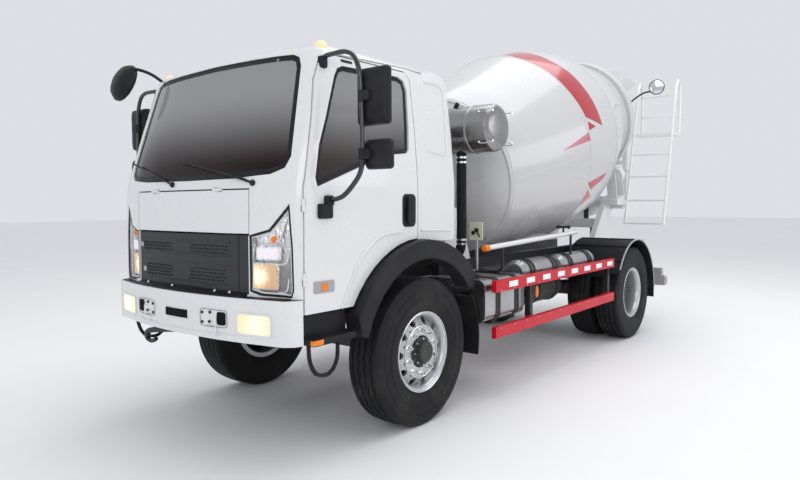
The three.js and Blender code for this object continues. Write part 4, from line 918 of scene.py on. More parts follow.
# %% [markdown]
# ## The drum
# The drum is two cones and a cylinder welded end to end. Turning its outline with many more steps than
# the frame does gives a smooth shell, and raised rings stand for the welds. Its stripes are paint, so
# they belong in the shader: distance along the tilted axis and angle round it say what colour goes where.

# %% Drum axis and paint
TILT = math.radians(15)
DRUM_FOOT = at(0, 1.620, 1.790)
DRUM_AXIS = Vector((0, math.cos(TILT), math.sin(TILT)))
DRUM_RED, DRUM_PINK = (0.43, 0.002, 0.014, 1), (0.52, 0.15, 0.17, 1)
FULL_TURN = 90.0


def band_edge(shader, turn, first, knots):
    """How far along the drum the band's edge lies at each angle, as (degrees, metres) knots."""
    points = [(t / FULL_TURN, v - 1) for t, v in [(0, first)] + knots]
    return shader.node("ShaderNodeValToRGB", {"stops": points}, {0: turn}) + 1


def inside(corners, a, b):
    """1 inside a convex outline of (a, b) corners given anticlockwise, 0 outside."""
    mask = 1.0
    for (a0, b0), (a1, b1) in zip(corners, corners[1:] + corners[:1]):
        side_of = (b - b0) * (a1 - a0) - (a - a0) * (b1 - b0)
        mask = (side_of > 0.0) * mask
    return mask


def ordered(corners):
    """The corners put in anticlockwise order about their middle."""
    ca, cb = (sum(c[k] for c in corners) / len(corners) for k in (0, 1))
    return sorted(corners, key=lambda c: math.atan2(c[1] - cb, c[0] - ca))


def drum_paint():
    s = Shader("drum_paint", Coat_Weight=0.45, Coat_Roughness=0.05)
    x, y, z = s.axes()
    y, z = y - DRUM_FOOT.y, z - DRUM_FOOT.z
    along = y * math.cos(TILT) + z * math.sin(TILT)
    rise = z * math.cos(TILT) - y * math.sin(TILT)
    angle = s.maths("ARCTAN2", s.maths("ABSOLUTE", x, 0.0), rise) * (180 / math.pi)
    turn = angle / FULL_TURN
    inner = band_edge(s, turn, 1.34, [
        (2.6, 1.31), (17, 1.18), (29, 1.154), (41, 1.15), (52, 1.15), (61, 1.165), (68, 1.183), (90, 1.22)])
    outer = band_edge(s, turn, 1.70, [
        (2.7, 1.675), (17.5, 1.563), (31, 1.505), (43, 1.52), (55, 1.51), (65, 1.517), (90, 1.525)])
    red = (along > inner) * (along < outer) * (angle < (along - 1.196) * 25.5 + 73)
    marks = [[(1.177, 80.7), (1.204, 75.4), (1.354, 80.0)],
             [(1.138, 110.6), (1.694, 111.3), (1.598, 115.1), (1.301, 117.5)],
             [(1.129, 128.1), (1.208, 115.4), (1.441, 124.7)]]
    for corners in marks:
        red = s.maths("MAXIMUM", red, inside(ordered(corners), along, angle))
    pink = inside(ordered([(1.146, 81.3), (0.711, 86.3), (1.171, 86.0)]), along, angle)
    cloud = s.noise(0.5, 4.0)
    # Painted shade: the drum's grey darkens towards its underside, below the axis.
    low = s.ramp(rise, -0.2, -1.0, 0.0, 0.3)
    base = s.mix(cloud * 0.35 + low, (0.60, 0.60, 0.605, 1), (0.47, 0.47, 0.475, 1))
    s.set("Base Color", s.mix(pink, s.mix(red, base, DRUM_RED), DRUM_PINK))
    s.set("Roughness", s.ramp(cloud, 0.3, 0.7, 0.2, 0.3))
    s.bump(s.noise(0.9, 2.0), 0.01, 0.06)
    return s.material


DRUM = drum_paint()

# %% Drum shell, rings and inside fins
BODY_R, BODY_END, FRONT_R, LIP_R = 1.029, 1.883, 0.763, 0.69
FRONT_SLOPE, REAR_SLOPE, LIP_SLOPE = 0.2327, 0.2594, 0.64
OUTSIDE = [(-0.255, 0.0), (-0.25, 0.19), (-0.225, 0.33), (-0.17, 0.52), (-0.10, 0.655), (-0.04, 0.733),
           (-0.012, 0.757), (0.0, FRONT_R), (0.35, 0.8445), (0.75, 0.9375), (1.12, 1.0236), (1.143, BODY_R),
           (1.5, 1.0295), (BODY_END, BODY_R), (2.3, 0.921), (2.7, 0.817), (3.095, 0.7146), (3.105, 0.714),
           (3.107, 0.76), (3.111, 0.762), (3.229, 0.762), (3.233, 0.76), (3.235, LIP_R), (3.4, 0.584),
           (3.58, 0.468), (3.6, 0.455)]
form = Form()
form.spin(OUTSIDE + [(a - 0.004, r - 0.012) for a, r in OUTSIDE[:0:-1]] + [(-0.245, 0.0)],
          DRUM_FOOT, DRUM_AXIS, 144)
place("drum_shell", form.bm, DRUM, "drum", "drum_paint", ("drum",), degrees=22)


def weld_ring(form, station, radius, width, height):
    form.spin([(station - width, radius - 0.003), (station - width * 0.6, radius + height),
               (station + width * 0.6, radius + height), (station + width, radius - 0.003)],
              DRUM_FOOT, DRUM_AXIS, 144)


welds = Form()
for station, radius in ((0.006, 0.7645), (1.143, 1.029), (1.883, 1.029)):
    weld_ring(welds, station, radius, 0.009, 0.0022)
for station, radius in ((-0.02, 0.752), (3.02, 0.735), (3.585, 0.466)):
    weld_ring(welds, station, radius, 0.016, 0.006)
place("drum_welds", welds.bm, DRUM, "drum", "drum_paint")


def drum_point(station, radius, degrees):
    a = math.radians(degrees)
    rise = Vector((0, -math.sin(TILT), math.cos(TILT)))
    return DRUM_FOOT + DRUM_AXIS * station + radius * (rise * math.cos(a) + Vector((1, 0, 0)) * math.sin(a))


seams = Form()
for degrees, a, b in ((3, 0.02, 1.12), (94, 0.02, 1.12), (183, 0.02, 1.12), (40, 1.9, 3.0), (220, 1.9, 3.0)):
    radius_at = (lambda s: FRONT_R + FRONT_SLOPE * s) if a < 1 else (
        lambda s: BODY_R - REAR_SLOPE * (s - BODY_END))
    seams.bar([drum_point(s, radius_at(s) - 0.002, degrees) for s in (a, (a + b) / 2, b)], 0.005, 6)
place("drum_seams", seams.bm, DRUM, "drum", "drum_paint")

fins = Form()
for start in (0, 180):
    rings = []
    for i in range(61):
        station = 2.1 + 1.42 * i / 60
        wall = (BODY_R - REAR_SLOPE * (station - BODY_END) if station < 3.1
                else LIP_R - LIP_SLOPE * (station - 3.235)) - 0.016
        wall = min(wall, LIP_R)
        angle = start + 420 * i / 60
        rings.append(fins.ring([drum_point(station, wall, angle), drum_point(station + 0.006, wall, angle),
                                drum_point(station + 0.006, wall * 0.55, angle),
                                drum_point(station, wall * 0.55, angle)]))
    fins.skin(rings)
place("drum_fins", fins.bm, DRUM, "drum", "drum_paint")
print("drum done")

# %% [markdown]
# ## Front lamps
# A headlamp is a deep bowl unit behind a clear cover: bright reflectors, their brightness partly painted light, a lit
# dipped-beam lamp low down and an amber bulb above. The parts sit at their own depths, so the cover shows real
# parallax.

# %% Headlamps
LAMP = [(0.606, 1.040), (0.690, 1.018), (0.886, 1.014), (0.902, 1.060), (0.896, 1.300), (0.872, 1.548),
        (0.830, 1.500), (0.740, 1.400), (0.606, 1.365)]
# The lamp's back and bowls are painted dark low down and bright higher up: painted light, over their metal's own
# reflections.
LAMP_BACK = faceted_with_painted_light("lamp_back", (0.17, 0.14, 0.13, 1), (0.82, 0.82, 0.84, 1), 1.24, 0.75, 0.03)
LAMP_BOWL = faceted_with_painted_light("lamp_bowl", (0.5, 0.47, 0.44, 1), (0.92, 0.92, 0.94, 1), 1.1, 1.0, 0.02)
REFLECTOR = lit("lamp_reflector", (0.85, 0.78, 0.84, 1), (1.0, 0.92, 0.98, 1), 0.25)


def lamp_parts(side, sign):
    node = f"headlight_{side}"

    def part(tag, outline, lift, thick, material, bevel=0.002):
        patch(f"{tag}_{side}", node, "front", sided(sign, outline), lift, thick, material, "lamp_lens", bevel)

    border(f"lamp_rim_{side}", node, "front", sided(sign, LAMP), 0.013, 0.003, 0.02, BLACK_PLASTIC, "lamp_lens")
    border(f"lamp_bright_rim_{side}", node, "front", sided(sign, inset(resampled(LAMP, 0.04), 0.012)), 0.012, -0.003,
           0.02, CHROME, "lamp_lens")
    part("lamp_back", inset(resampled(LAMP, 0.04), 0.006), -0.034, 0.004, LAMP_BACK, 0)
    part("lamp_upper_bowl", [(0.665, 1.325), (0.79, 1.325), (0.846, 1.48), (0.77, 1.415), (0.67, 1.37)],
         -0.016, 0.014, LAMP_BOWL, 0.004)
    part("lamp_main_bowl", rounded(0.64, 0.80, 1.222, 1.304, 0.012), -0.012, 0.018, LAMP_BOWL, 0.004)
    part("lamp_main_lens", rounded(0.652, 0.788, 1.232, 1.294, 0.01), -0.008, 0.004, REFLECTOR, 0.002)
    part("lamp_low_bowl", rounded(0.607, 0.785, 1.05, 1.208, 0.014), -0.014, 0.016, LAMP_BOWL, 0.004)
    part("lamp_low_lit", rounded(0.611, 0.776, 1.058, 1.20, 0.012), -0.009, 0.006, HEAD_LIT, 0.003)
    for k, (low, high) in enumerate(((1.04, 1.12), (1.20, 1.27))):
        curve = [(0.79, low), (0.84, low + 0.012), (0.855, high)]
        curve = [(p.x, p.y) for p in smooth_curve([(*q, 0) for q in curve], 6)]
        path = laid(node, "front", sided(sign, curve), -0.012)
        form = Form().bar(path, 0.006, 8)
        place(f"lamp_trim_{k}_{side}", form.bm, CHROME, "cab", "lamp_lens")
    spots = laid(node, "front", sided(sign, [(0.763, 1.342), (0.70, 1.35), (0.80, 1.35)]), -0.006)
    bulb = spots[1 if sign < 0 else 0]
    form = Form().ball(bulb, 0.016, (1, 1, 1.25))
    place(f"lamp_bulb_{side}", form.bm, AMBER, "cab", "lamp_lens")
    top = laid(node, "front", sided(sign, inset(resampled(LAMP, 0.03), 0.002)), 0.0)
    form = Form()
    form.skin([form.ring(top), form.ring([p + WAYS["front"] * 0.0025 for p in top])])
    place(f"lamp_cover_{side}", form.bm, LAMP_COVER, "cab", "lamp_lens", (node,))


lamp_parts("left", 1)
lamp_parts("right", -1)

# %% [markdown]
# ## Grille, bumper and hook
# The grille's mesh is hundreds of small hexagonal holes. Each is one low hexagon placed by Geometry
# Nodes on points laid on the grille, which is far lighter than cutting them all.

# %% Grille mesh
def comb(u0, u1, v0, v1, pitch):
    rows = int((v1 - v0) / (pitch * 0.87)) + 1
    made = []
    for r in range(rows):
        shift = pitch / 2 * (r % 2)
        for c in range(int((u1 - u0 - shift) / pitch) + 1):
            made.append((u0 + shift + c * pitch, v0 + r * pitch * 0.87))
    return made


HOLE_RIM = grained("grille_hole_rim", (0.13, 0.13, 0.135, 1), 0.35, 0.004, 0.0005, 0.0)
for tag, u0, u1, v0, v1 in (("upper", -0.53, 0.42, 1.252, 1.300), ("lower", -0.49, 0.39, 1.085, 1.16)):
    holes = [(u, v) for u, v in comb(u0, u1, v0, v1, 0.024) if abs(u + 0.07) > 0.1]
    # The hole hexagons are near-black: painted shade behind the grille.
    for part, radius, depth, material in (("rim", 0.0105, 0.004, HOLE_RIM), ("hole", 0.008, 0.006, HOLLOW_SHADE)):
        repeat(f"grille_{part}s_{tag}", "cylinder", laid("grille", "front", holes, 0.001), (0, 1, 0.02),
               {"Vertices": 6, "Radius": radius, "Depth": depth}, material, "cab")
    patch(f"grille_badge_{tag}", "grille", "front", rounded(u0 - 0.065, u0 - 0.02, v0 + 0.008, v0 + 0.04, 0.004, 3),
          0.004, 0.004, GREY_PAINT, "black_plastic", 0.001)
lines = [[(-0.5, 1.232), (0.16, 1.232), (0.22, 1.222), (0.27, 1.236), (0.44, 1.236)],
         [(-0.46, 1.064), (0.18, 1.064), (0.24, 1.054), (0.29, 1.068), (0.41, 1.068)],
         [(-0.53, 1.318), (0.44, 1.318)], [(-0.49, 1.178), (0.41, 1.178)],
         [(0.505, 1.03), (0.505, 1.2), (0.505, 1.368)]]
for k, line in enumerate(lines):
    halved = [q for a, b in zip(line, line[1:]) for q in (a, ((a[0] + b[0]) / 2, (a[1] + b[1]) / 2))]
    path = laid("grille", "front", halved + [line[-1]], 0.0012)
    place(f"grille_rib_{k}", Form().bar(path, 0.0045, 8).bm, GRILLE_PLASTIC, "cab", "black_plastic")

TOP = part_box("front_bumper")[1][2]
ledge, screws = Form(), []
rings = []
for k in range(-13, 14):
    u = k * 0.045
    face = laid("front_bumper", "front", [(u, 0.96)], 0)[0]
    wall = laid("grille", "front", [(u, 1.05)], 0)[0]
    front_y, back_y = face.y + 0.012, wall.y + 0.004
    rings.append(ledge.ring([(u, front_y, TOP - 0.002), (u, front_y, TOP + 0.007), (u, back_y, TOP + 0.028),
                             (u, back_y, TOP - 0.002)]))
    if k in (-10, -3, 7, 10):
        screws.append(Vector((u, front_y * 0.4 + back_y * 0.6, TOP + 0.021)))
ledge.skin(rings)
for sign in (1, -1):
    rings = []
    for k in range(13):
        u = (0.60 + 0.023 * k) * sign
        face = laid("front_bumper", "front", [(u, 0.96)], 0)[0]
        rings.append(ledge.ring([(u, face.y + 0.014, TOP - 0.002), (u, face.y + 0.014, TOP + 0.005),
                                 (u, face.y + 0.07, TOP + 0.009), (u, face.y + 0.07, TOP - 0.002)]))
    ledge.skin(rings)
place("grille_ledge", ledge.bm, BLACK_PLASTIC, "cab", "black_plastic", bevel=0.002)
repeat("grille_screws", "cylinder", screws, (0, -1, 0.6), {"Vertices": 10, "Radius": 0.01, "Depth": 0.006}, CHROME,
       "cab")

# %% Bumper fittings
BUMPER = "front_bumper"
for side, sign in (("left", 1), ("right", -1)):
    patch(f"fog_lamp_{side}", BUMPER, "front", sided(sign, rounded(0.567, 0.80, 0.80, 0.915, 0.022)), 0.006, 0.012,
          FOG_LIT, "lamp_lens", 0.002)
    border(f"fog_lamp_frame_{side}", BUMPER, "front", sided(sign, rounded(0.555, 0.815, 0.79, 0.925, 0.028)), 0.012,
           0.007, 0.01, WHITE, "white_paint")
    patch(f"tow_pocket_{side}", BUMPER, "front", sided(sign, rounded(0.252, 0.49, 0.818, 0.926, 0.022)), 0.006, 0.009,
          WHITE, "white_paint", 0.002)
    border(f"tow_pocket_edge_{side}", BUMPER, "front", sided(sign, rounded(0.252, 0.49, 0.818, 0.926, 0.022)), 0.005,
           0.0085, 0.008, LAMP_BACK, "white_paint")
    # Painted shade: the pocket's window is a near-black patch standing for the dark opening.
    window = sided(sign, rounded(0.405, 0.475, 0.835, 0.912, 0.014))
    patch(f"tow_pocket_window_{side}", BUMPER, "front", window, 0.009, 0.004, HOLLOW_SHADE, "black_plastic")
    repeat(f"tow_pocket_bolts_{side}", "cylinder",
           laid(BUMPER, "front", sided(sign, [(0.275, 0.90), (0.275, 0.842), (0.345, 0.905), (0.345, 0.85)]), 0.009),
           (0, -1, 0), {"Vertices": 12, "Radius": 0.009, "Depth": 0.006}, BLACK_PLASTIC, "chassis")
border("plate_frame", BUMPER, "front", rounded(-0.115, 0.135, 0.84, 0.905, 0.01, 3), 0.006, 0.006, 0.008, WHITE,
       "white_paint")
# Painted shade: the plate recess is a near-black patch.
patch("plate_recess", BUMPER, "front", rounded(-0.108, 0.128, 0.847, 0.898, 0.006, 3), 0.009, 0.009, HOLLOW_SHADE,
      "black_plastic")
bead("bumper_crease", BUMPER, "front", [(-0.85, 0.80), (-0.4, 0.782), (0, 0.778), (0.4, 0.782), (0.85, 0.80)],
     0.004, WHITE, "white_paint")
hook = [at(-0.381, -1.27, 0.662), at(-0.40, -1.27, 0.685), at(-0.37, -1.27, 0.706), at(-0.29, -1.265, 0.722),
        at(-0.18, -1.25, 0.735), at(-0.03, -1.22, 0.752), at(0.12, -1.16, 0.775)]
place("tow_hook_bar", Form().bar(smooth_curve(hook, 6), 0.019, 12).bm, FRAME_BLACK, "chassis", "black_steel")
curl = [at(-0.398, -1.27, 0.70), at(-0.412, -1.27, 0.675), at(-0.395, -1.27, 0.65), at(-0.355, -1.27, 0.640),
        at(-0.315, -1.27, 0.648), at(-0.29, -1.27, 0.662)]
place("tow_hook_curl", Form().bar(smooth_curve(curl, 6), 0.014, 12).bm, FRAME_BLACK, "chassis", "black_steel")
print("front done")

# %% [markdown]
# ## Tanks, straps and the air cleaner
# The tanks are rolled aluminium held by paired steel straps. Straps are the tank's own
# outline pushed a little outwards, so they hug it. The air cleaner is a rolled can with seam rings.

# %% Tanks
dressed("fuel_tank", ALUMINIUM, 0.014)
dressed("air_tanks", ALUMINIUM, 0.004)


def strap(form, x0, x1, z0, z1, radius, y, width, lift):
    outline = rounded(x0 - lift, x1 + lift, z0 - lift, z1 + lift, radius + lift, 6)
    inner = rounded(x0 + 0.004, x1 - 0.004, z0 + 0.004, z1 - 0.004, radius, 6)
    rings = [[at(u, yy, v) for u, v in shape] for shape, yy in (
        (inner, y - width / 2), (outline, y - width / 2), (outline, y + width / 2), (inner, y + width / 2))]
    form.skin([form.ring(r) for r in rings], wrap=True)


def band(form, middle, half, inner, outer, centre, axis, count):
    """A flat hoop about an axis."""
    form.spin([(middle - half, inner), (middle - half, outer), (middle + half, outer), (middle + half, inner)],
              centre, axis, count)


form = Form()
for y in (0.865, 0.905, 1.165, 1.205):
    strap(form, 0.47, 1.04, 0.615, 0.945, 0.06, y, 0.026, 0.006)
place("fuel_tank_straps", form.bm, FRAME_BLACK, "chassis", "black_steel", bevel=0.001)
form = Form()
for y in (0.885, 1.185):
    form.box(at(0.42, y - 0.04, 0.585), at(1.0, y + 0.04, 0.613))
    form.box(at(0.402, y - 0.035, 0.60), at(0.455, y + 0.035, 0.90))
place("fuel_tank_cradles", form.bm, FRAME_BLACK, "chassis", "black_steel", bevel=0.004)
form = Form()
for y in (0.692, 1.298):
    strap(form, 0.474, 1.036, 0.619, 0.941, 0.056, y, 0.012, 0.008)
place("fuel_tank_end_rims", form.bm, ALUMINIUM, "chassis", "tank_aluminium", bevel=0.002)
form = Form()
form.spin([(0, 0.05), (0.03, 0.05), (0.034, 0.042), (0.04, 0.04), (0.04, 0.002)], at(0.86, 0.80, 0.94), (0, 0, 1), 24)
place("fuel_cap", form.bm, BLACK_PLASTIC, "chassis", "black_plastic")
form = Form()
for y in (1.60, 1.66, 2.04, 2.10, 2.40, 2.46, 2.86, 2.92):
    band(form, y, 0.014, 0.112, 0.118, at(0.85, 0, 0.925), (0, 1, 0), 40)
place("air_tank_bands", form.bm, FRAME_BLACK, "chassis", "black_steel")
form = Form()
for y in (1.80, 2.17, 2.54):
    band(form, y, 0.02, 0.16, 0.166, at(0.61, 0, 0.705), (0, 1, 0), 40)
place("muffler_bands", form.bm, FRAME_BLACK, "chassis", "black_steel")
form = Form()
for y in (0.80, 1.0, 1.2):
    form.box(at(-1.024, y - 0.012, 0.62), at(-1.018, y + 0.012, 0.91))
place("battery_box_ribs", form.bm, BLACK_PLASTIC, "chassis", "black_plastic", bevel=0.002)

# %% Air cleaner
form = Form()
form.spin([(0.40, 0.17), (0.405, 0.187), (0.42, 0.192), (0.755, 0.192), (0.76, 0.197), (0.768, 0.1995),
           (0.776, 0.197), (0.781, 0.192), (0.925, 0.192), (0.95, 0.187), (0.968, 0.172), (0.98, 0.15),
           (0.99, 0.1), (0.993, 0.0)],
          at(0, 1.0, 2.142), (1, 0, 0), 72)
place("air_cleaner_can", form.bm, CAN_STEEL, "chassis", "tank_aluminium", ("air_cleaner",), degrees=24)
form = Form()
for degrees in (38, 142, 218, 322):
    a = math.radians(degrees)
    spots = [at(x, 1.0 + r * math.cos(a), 2.142 + r * math.sin(a)) for x, r in (
        (0.885, 0.194), (0.90, 0.212), (1.0, 0.212), (1.01, 0.19), (0.975, 0.165))]
    form.bar(spots, 0.0045, 8)
    form.ball(spots[0], 0.012, (1, 1, 1), 10).ball(spots[3], 0.009, (1, 1, 1), 10)
place("air_cleaner_clips", form.bm, CHROME, "chassis", "tank_aluminium")
form = Form().bar(smooth_curve([at(0.37, 1.0, 1.12), at(0.50, 1.0, 1.10), at(0.60, 1.0, 1.14), at(0.62, 1.0, 1.3),
                                at(0.62, 1.0, 1.6), at(0.62, 1.0, 1.96)], 8), 0.042, 20)
form.bar([at(0.60, 0.98, 2.34), at(0.58, 0.96, 2.352)], 0.03, 12)
place("air_cleaner_pipe", form.bm, RUBBER, "chassis", "rubber_flap")
form = Form()
for z in (1.20, 1.235, 1.88, 1.92):
    band(form, z, 0.008, 0.042, 0.0465, at(0.62, 1.0, 0), (0, 0, 1), 24)
place("air_cleaner_clamps", form.bm, CHROME, "chassis", "tank_aluminium")
form = Form()
form.box(at(0.335, 0.985, 1.0303), at(0.395, 1.015, 2.085))
form.box(at(0.335, 0.985, 2.055), at(0.49, 1.015, 2.105))
place("air_cleaner_post", form.bm, FRAME_BLACK, "chassis", "black_steel", bevel=0.003)

# %% [markdown]
# ## Side guards, mudguards and steps
# Reflectors, rivets and bolts come in rows, so each row is one Geometry Nodes repeat along a line.

# %% Side guards
GUARD_R, GUARD_EDGE_R = 0.608, 0.604
# Painted light: the white reflectors glow a little, though they are no lamps.
REFLECT_WHITE = lit("white_reflector", (0.86, 0.86, 0.88, 1), (1, 1, 1, 1), 0.12)
for side, sign in (("left", 1), ("right", -1)):
    face = (sign, 0, 0)
    spots = line_of(at(1.1205 * sign, 0.99, 0.902), at(1.1205 * sign, 3.03, 0.902), 8)
    repeat(f"guard_reflectors_{side}", "box", spots, face, {"Size": (0.14, 0.045, 0.004)}, REFLECT_WHITE,
           "chassis", 0.001)
    repeat(f"guard_rivets_{side}", "cylinder",
           line_of(at(1.121 * sign, 0.80, 0.868), at(1.121 * sign, 3.1, 0.868), 12)
           + line_of(at(1.121 * sign, 0.80, 0.573), at(1.121 * sign, 3.1, 0.573), 12), face,
           {"Vertices": 12, "Radius": 0.005, "Depth": 0.004}, CHROME, "chassis")
    form = Form().ball(at(1.10 * sign, 1.43, 0.785), 0.032, (0.35, 0.6, 1.6))
    place(f"guard_amber_{side}", form.bm, AMBER, "chassis", "lamp_lens")
    for k, degrees in enumerate((8, 30, 52, 74, 96, 118, 140)):
        a = math.radians(degrees)
        spot = at(0.828 * sign, WHEELBASE + GUARD_R * math.cos(a), TYRE_R + GUARD_R * math.sin(a))
        form = Form().bar([spot - Vector((0.31, 0, 0)), spot + Vector((0.31, 0, 0))], 0.008, 8)
        place(f"mudguard_rib_{k}_{side}", form.bm, BLACK_PLASTIC, "chassis", "black_plastic")
    edge = [at(1.148 * sign, WHEELBASE + GUARD_EDGE_R * math.cos(math.radians(t)),
               TYRE_R + GUARD_EDGE_R * math.sin(math.radians(t))) for t in range(0, 151, 6)]
    place(f"mudguard_edge_{side}", Form().bar(edge, 0.009, 8).bm, GREY_PAINT, "chassis", "grey_paint")
    form = Form().ball(at(1.135 * sign, 4.0, 1.092), 0.03, (0.5, 1.3, 0.5))
    place(f"mudguard_lamp_{side}", form.bm, AMBER, "chassis", "lamp_lens")
    # Painted light: the amber step reflectors glow a little, though they are no lamps.
    form = Form().box(at(0.965 * sign, -1.062, 0.742), at(0.992 * sign, -0.98, 0.772))
    place(f"step_reflector_{side}", form.bm, AMBER, "chassis", "lamp_lens", bevel=0.003)
    spots = [at((0.80 + 0.03 * i) * sign, -1.03 + 0.032 * j, 0.7765) for i in range(6) for j in range(10)]
    repeat(f"step_studs_{side}", "cylinder", spots, (0, 0, 1), {"Vertices": 8, "Radius": 0.006, "Depth": 0.004},
           BLACK_PLASTIC, "chassis")
    rows = [line_of(at(0.401 * sign, -0.9, z), at(0.401 * sign, 4.8, z), 34) for z in (0.735, 0.875)]
    repeat(f"frame_bolts_{side}", "cylinder", rows[0] + rows[1], face,
           {"Vertices": 6, "Radius": 0.011, "Depth": 0.012}, FRAME_BLACK, "chassis")
    for tag, x, inwards, outwards, z0, z1, material in (
            ("lamp", 0.995, 0.085, 0.085, 0.615, 0.69, RED_LENS), ("end", 1.118, 0.0, 0.017, 0.50, 0.58, AMBER)):
        form = Form().box(at((x - inwards) * sign, 4.944, z0), at((x + outwards) * sign, 4.956, z1))
        place(f"tail_{tag}_{side}", form.bm, material, "chassis", "lamp_lens", bevel=0.003)
print("guards and steps done")

# %% [markdown]
# ## Controls, water pipe and hopper mirror
# Behind the cab stand the drum's control lever on its plate and a water pipe that runs to the rear. A
# round mirror lets the driver see into the hopper.

# %% Pipe, control plate and hopper mirror
PIPE_START = at(0.9, 0.93, 1.176)
form = Form().bar([PIPE_START, at(0.9, 2.6, 1.236), at(0.88, 2.72, 1.238), at(0.80, 2.8, 1.22)], 0.022, 20)
place("water_pipe", form.bm, STEEL_WHITE, "chassis", "white_paint")
# Painted light: the amber pipe cap glows a little, though it is no lamp.
form = Form().spin([(-0.03, 0.014), (-0.026, 0.024), (0.03, 0.028), (0.034, 0.022)], PIPE_START, (0, 1, 0.04), 24)
place("pipe_cap", form.bm, AMBER, "chassis", "lamp_lens")
form = Form()
form.bar([at(0.40, 2.55, 0.94), at(0.84, 2.55, 0.96), at(0.9, 2.55, 1.0), at(0.9, 2.55, 1.245)], 0.012, 10)
form.bar([at(0.40, 1.2, 0.93), at(0.86, 1.2, 0.965), at(0.9, 1.2, 1.0), at(0.9, 1.2, 1.19)], 0.012, 10)
form.bar([at(0.845, 2.38, 1.30), at(0.955, 2.38, 1.30)], 0.012, 10)
form.bar([at(0.9, 2.38, 1.23), at(0.9, 2.38, 1.30)], 0.01, 10)
form.ball(at(0.845, 2.38, 1.30), 0.02).ball(at(0.955, 2.38, 1.30), 0.02)
place("pipe_brackets", form.bm, FRAME_BLACK, "chassis", "black_steel")
form = Form().box(at(0.575, 1.195, 1.22), at(0.705, 1.205, 1.375))
LABEL = grained("control_plate", (0.78, 0.79, 0.60, 1), 0.4, 0.02, 0.0004, 0.1)
place("control_plate", form.bm, LABEL, "chassis", "white_paint", bevel=0.003)
form = Form().bar([at(0.64, 1.21, 0.90), at(0.64, 1.21, 1.30)], 0.012, 10)
form.bar([at(0.50, 1.21, 0.95), at(0.64, 1.21, 0.95)], 0.016, 10)
form.bar([at(0.39, 1.21, 0.95), at(0.51, 1.21, 0.95)], 0.02, 10)
place("control_post", form.bm, GALVANISED, "chassis", "grey_paint")
form = Form().bar([at(0.675, 1.195, 1.25), at(0.675, 1.15, 1.30)], 0.006, 8).ball(at(0.675, 1.145, 1.31), 0.02)
form.spin([(0, 0.016), (0.01, 0.016)], at(0.62, 1.185, 1.285), (0, -1, 0), 20)
place("control_lever", form.bm, BLACK_PLASTIC, "chassis", "black_plastic")
bend = [at(0.53, 5.09, 2.70), at(0.56, 5.15, 2.85), at(0.70, 5.25, 2.98), at(0.83, 5.3, 3.0)]
form = Form().bar(smooth_curve(bend, 8), 0.011, 10)
place("hopper_mirror_arm", form.bm, BLACK_PLASTIC, "chassis", "black_plastic")
HOPPER_MIRROR, HOPPER_VIEW = at(0.86, 5.3, 3.05), (0.25, -1, -0.12)
form = Form().spin([(-0.02, 0.004), (-0.012, 0.06), (0.008, 0.092), (0.02, 0.098), (0.026, 0.09)],
                   HOPPER_MIRROR, HOPPER_VIEW, 40)
place("hopper_mirror_shell", form.bm, BLACK_PLASTIC, "chassis", "black_plastic")

# %% Mirror faces, roof lamps and the rear window
MIRROR_GLASS = brushed("mirror_glass", (0.78, 0.8, 0.82, 1), (1, 1, 1), 0.05, 1.0, 0.3)
HEADS = [(1.116, 1.342, 1.980, 2.300), (1.172, 1.357, 1.734, 1.902)]
ARM = [(0.88, -0.852, 2.375), (0.90, -0.852, 2.398), (0.96, -0.855, 2.402), (1.06, -0.857, 2.40),
       (1.128, -0.855, 2.368), (1.168, -0.855, 2.285), (1.182, -0.855, 2.18), (1.19, -0.855, 1.90),
       (1.19, -0.855, 1.80), (1.175, -0.86, 1.72),
       (1.138, -0.865, 1.664), (1.075, -0.875, 1.60), (1.022, -0.885, 1.573), (0.955, -0.892, 1.566)]
FEET = [(0.905, 0.975, -0.977, -0.870, 1.458, 1.544), (0.915, 0.98, -0.925, -0.865, 1.530, 1.592),
        (0.845, 0.905, -0.876, -0.83, 2.332, 2.404)]
SHELL_RINGS = [(0.012, -0.778, 0.012), (0.002, -0.780, 0.02), (0, -0.787, 0.022), (0, -0.806, 0.022),
               (0.006, -0.820, 0.024), (0.022, -0.832, 0.03), (0.05, -0.841, 0.03)]
BLACK_GLOSS = painted("black_gloss_tube", (0.01, 0.01, 0.011, 1), 0.2, 0.1, 0.0, coat=0.6)


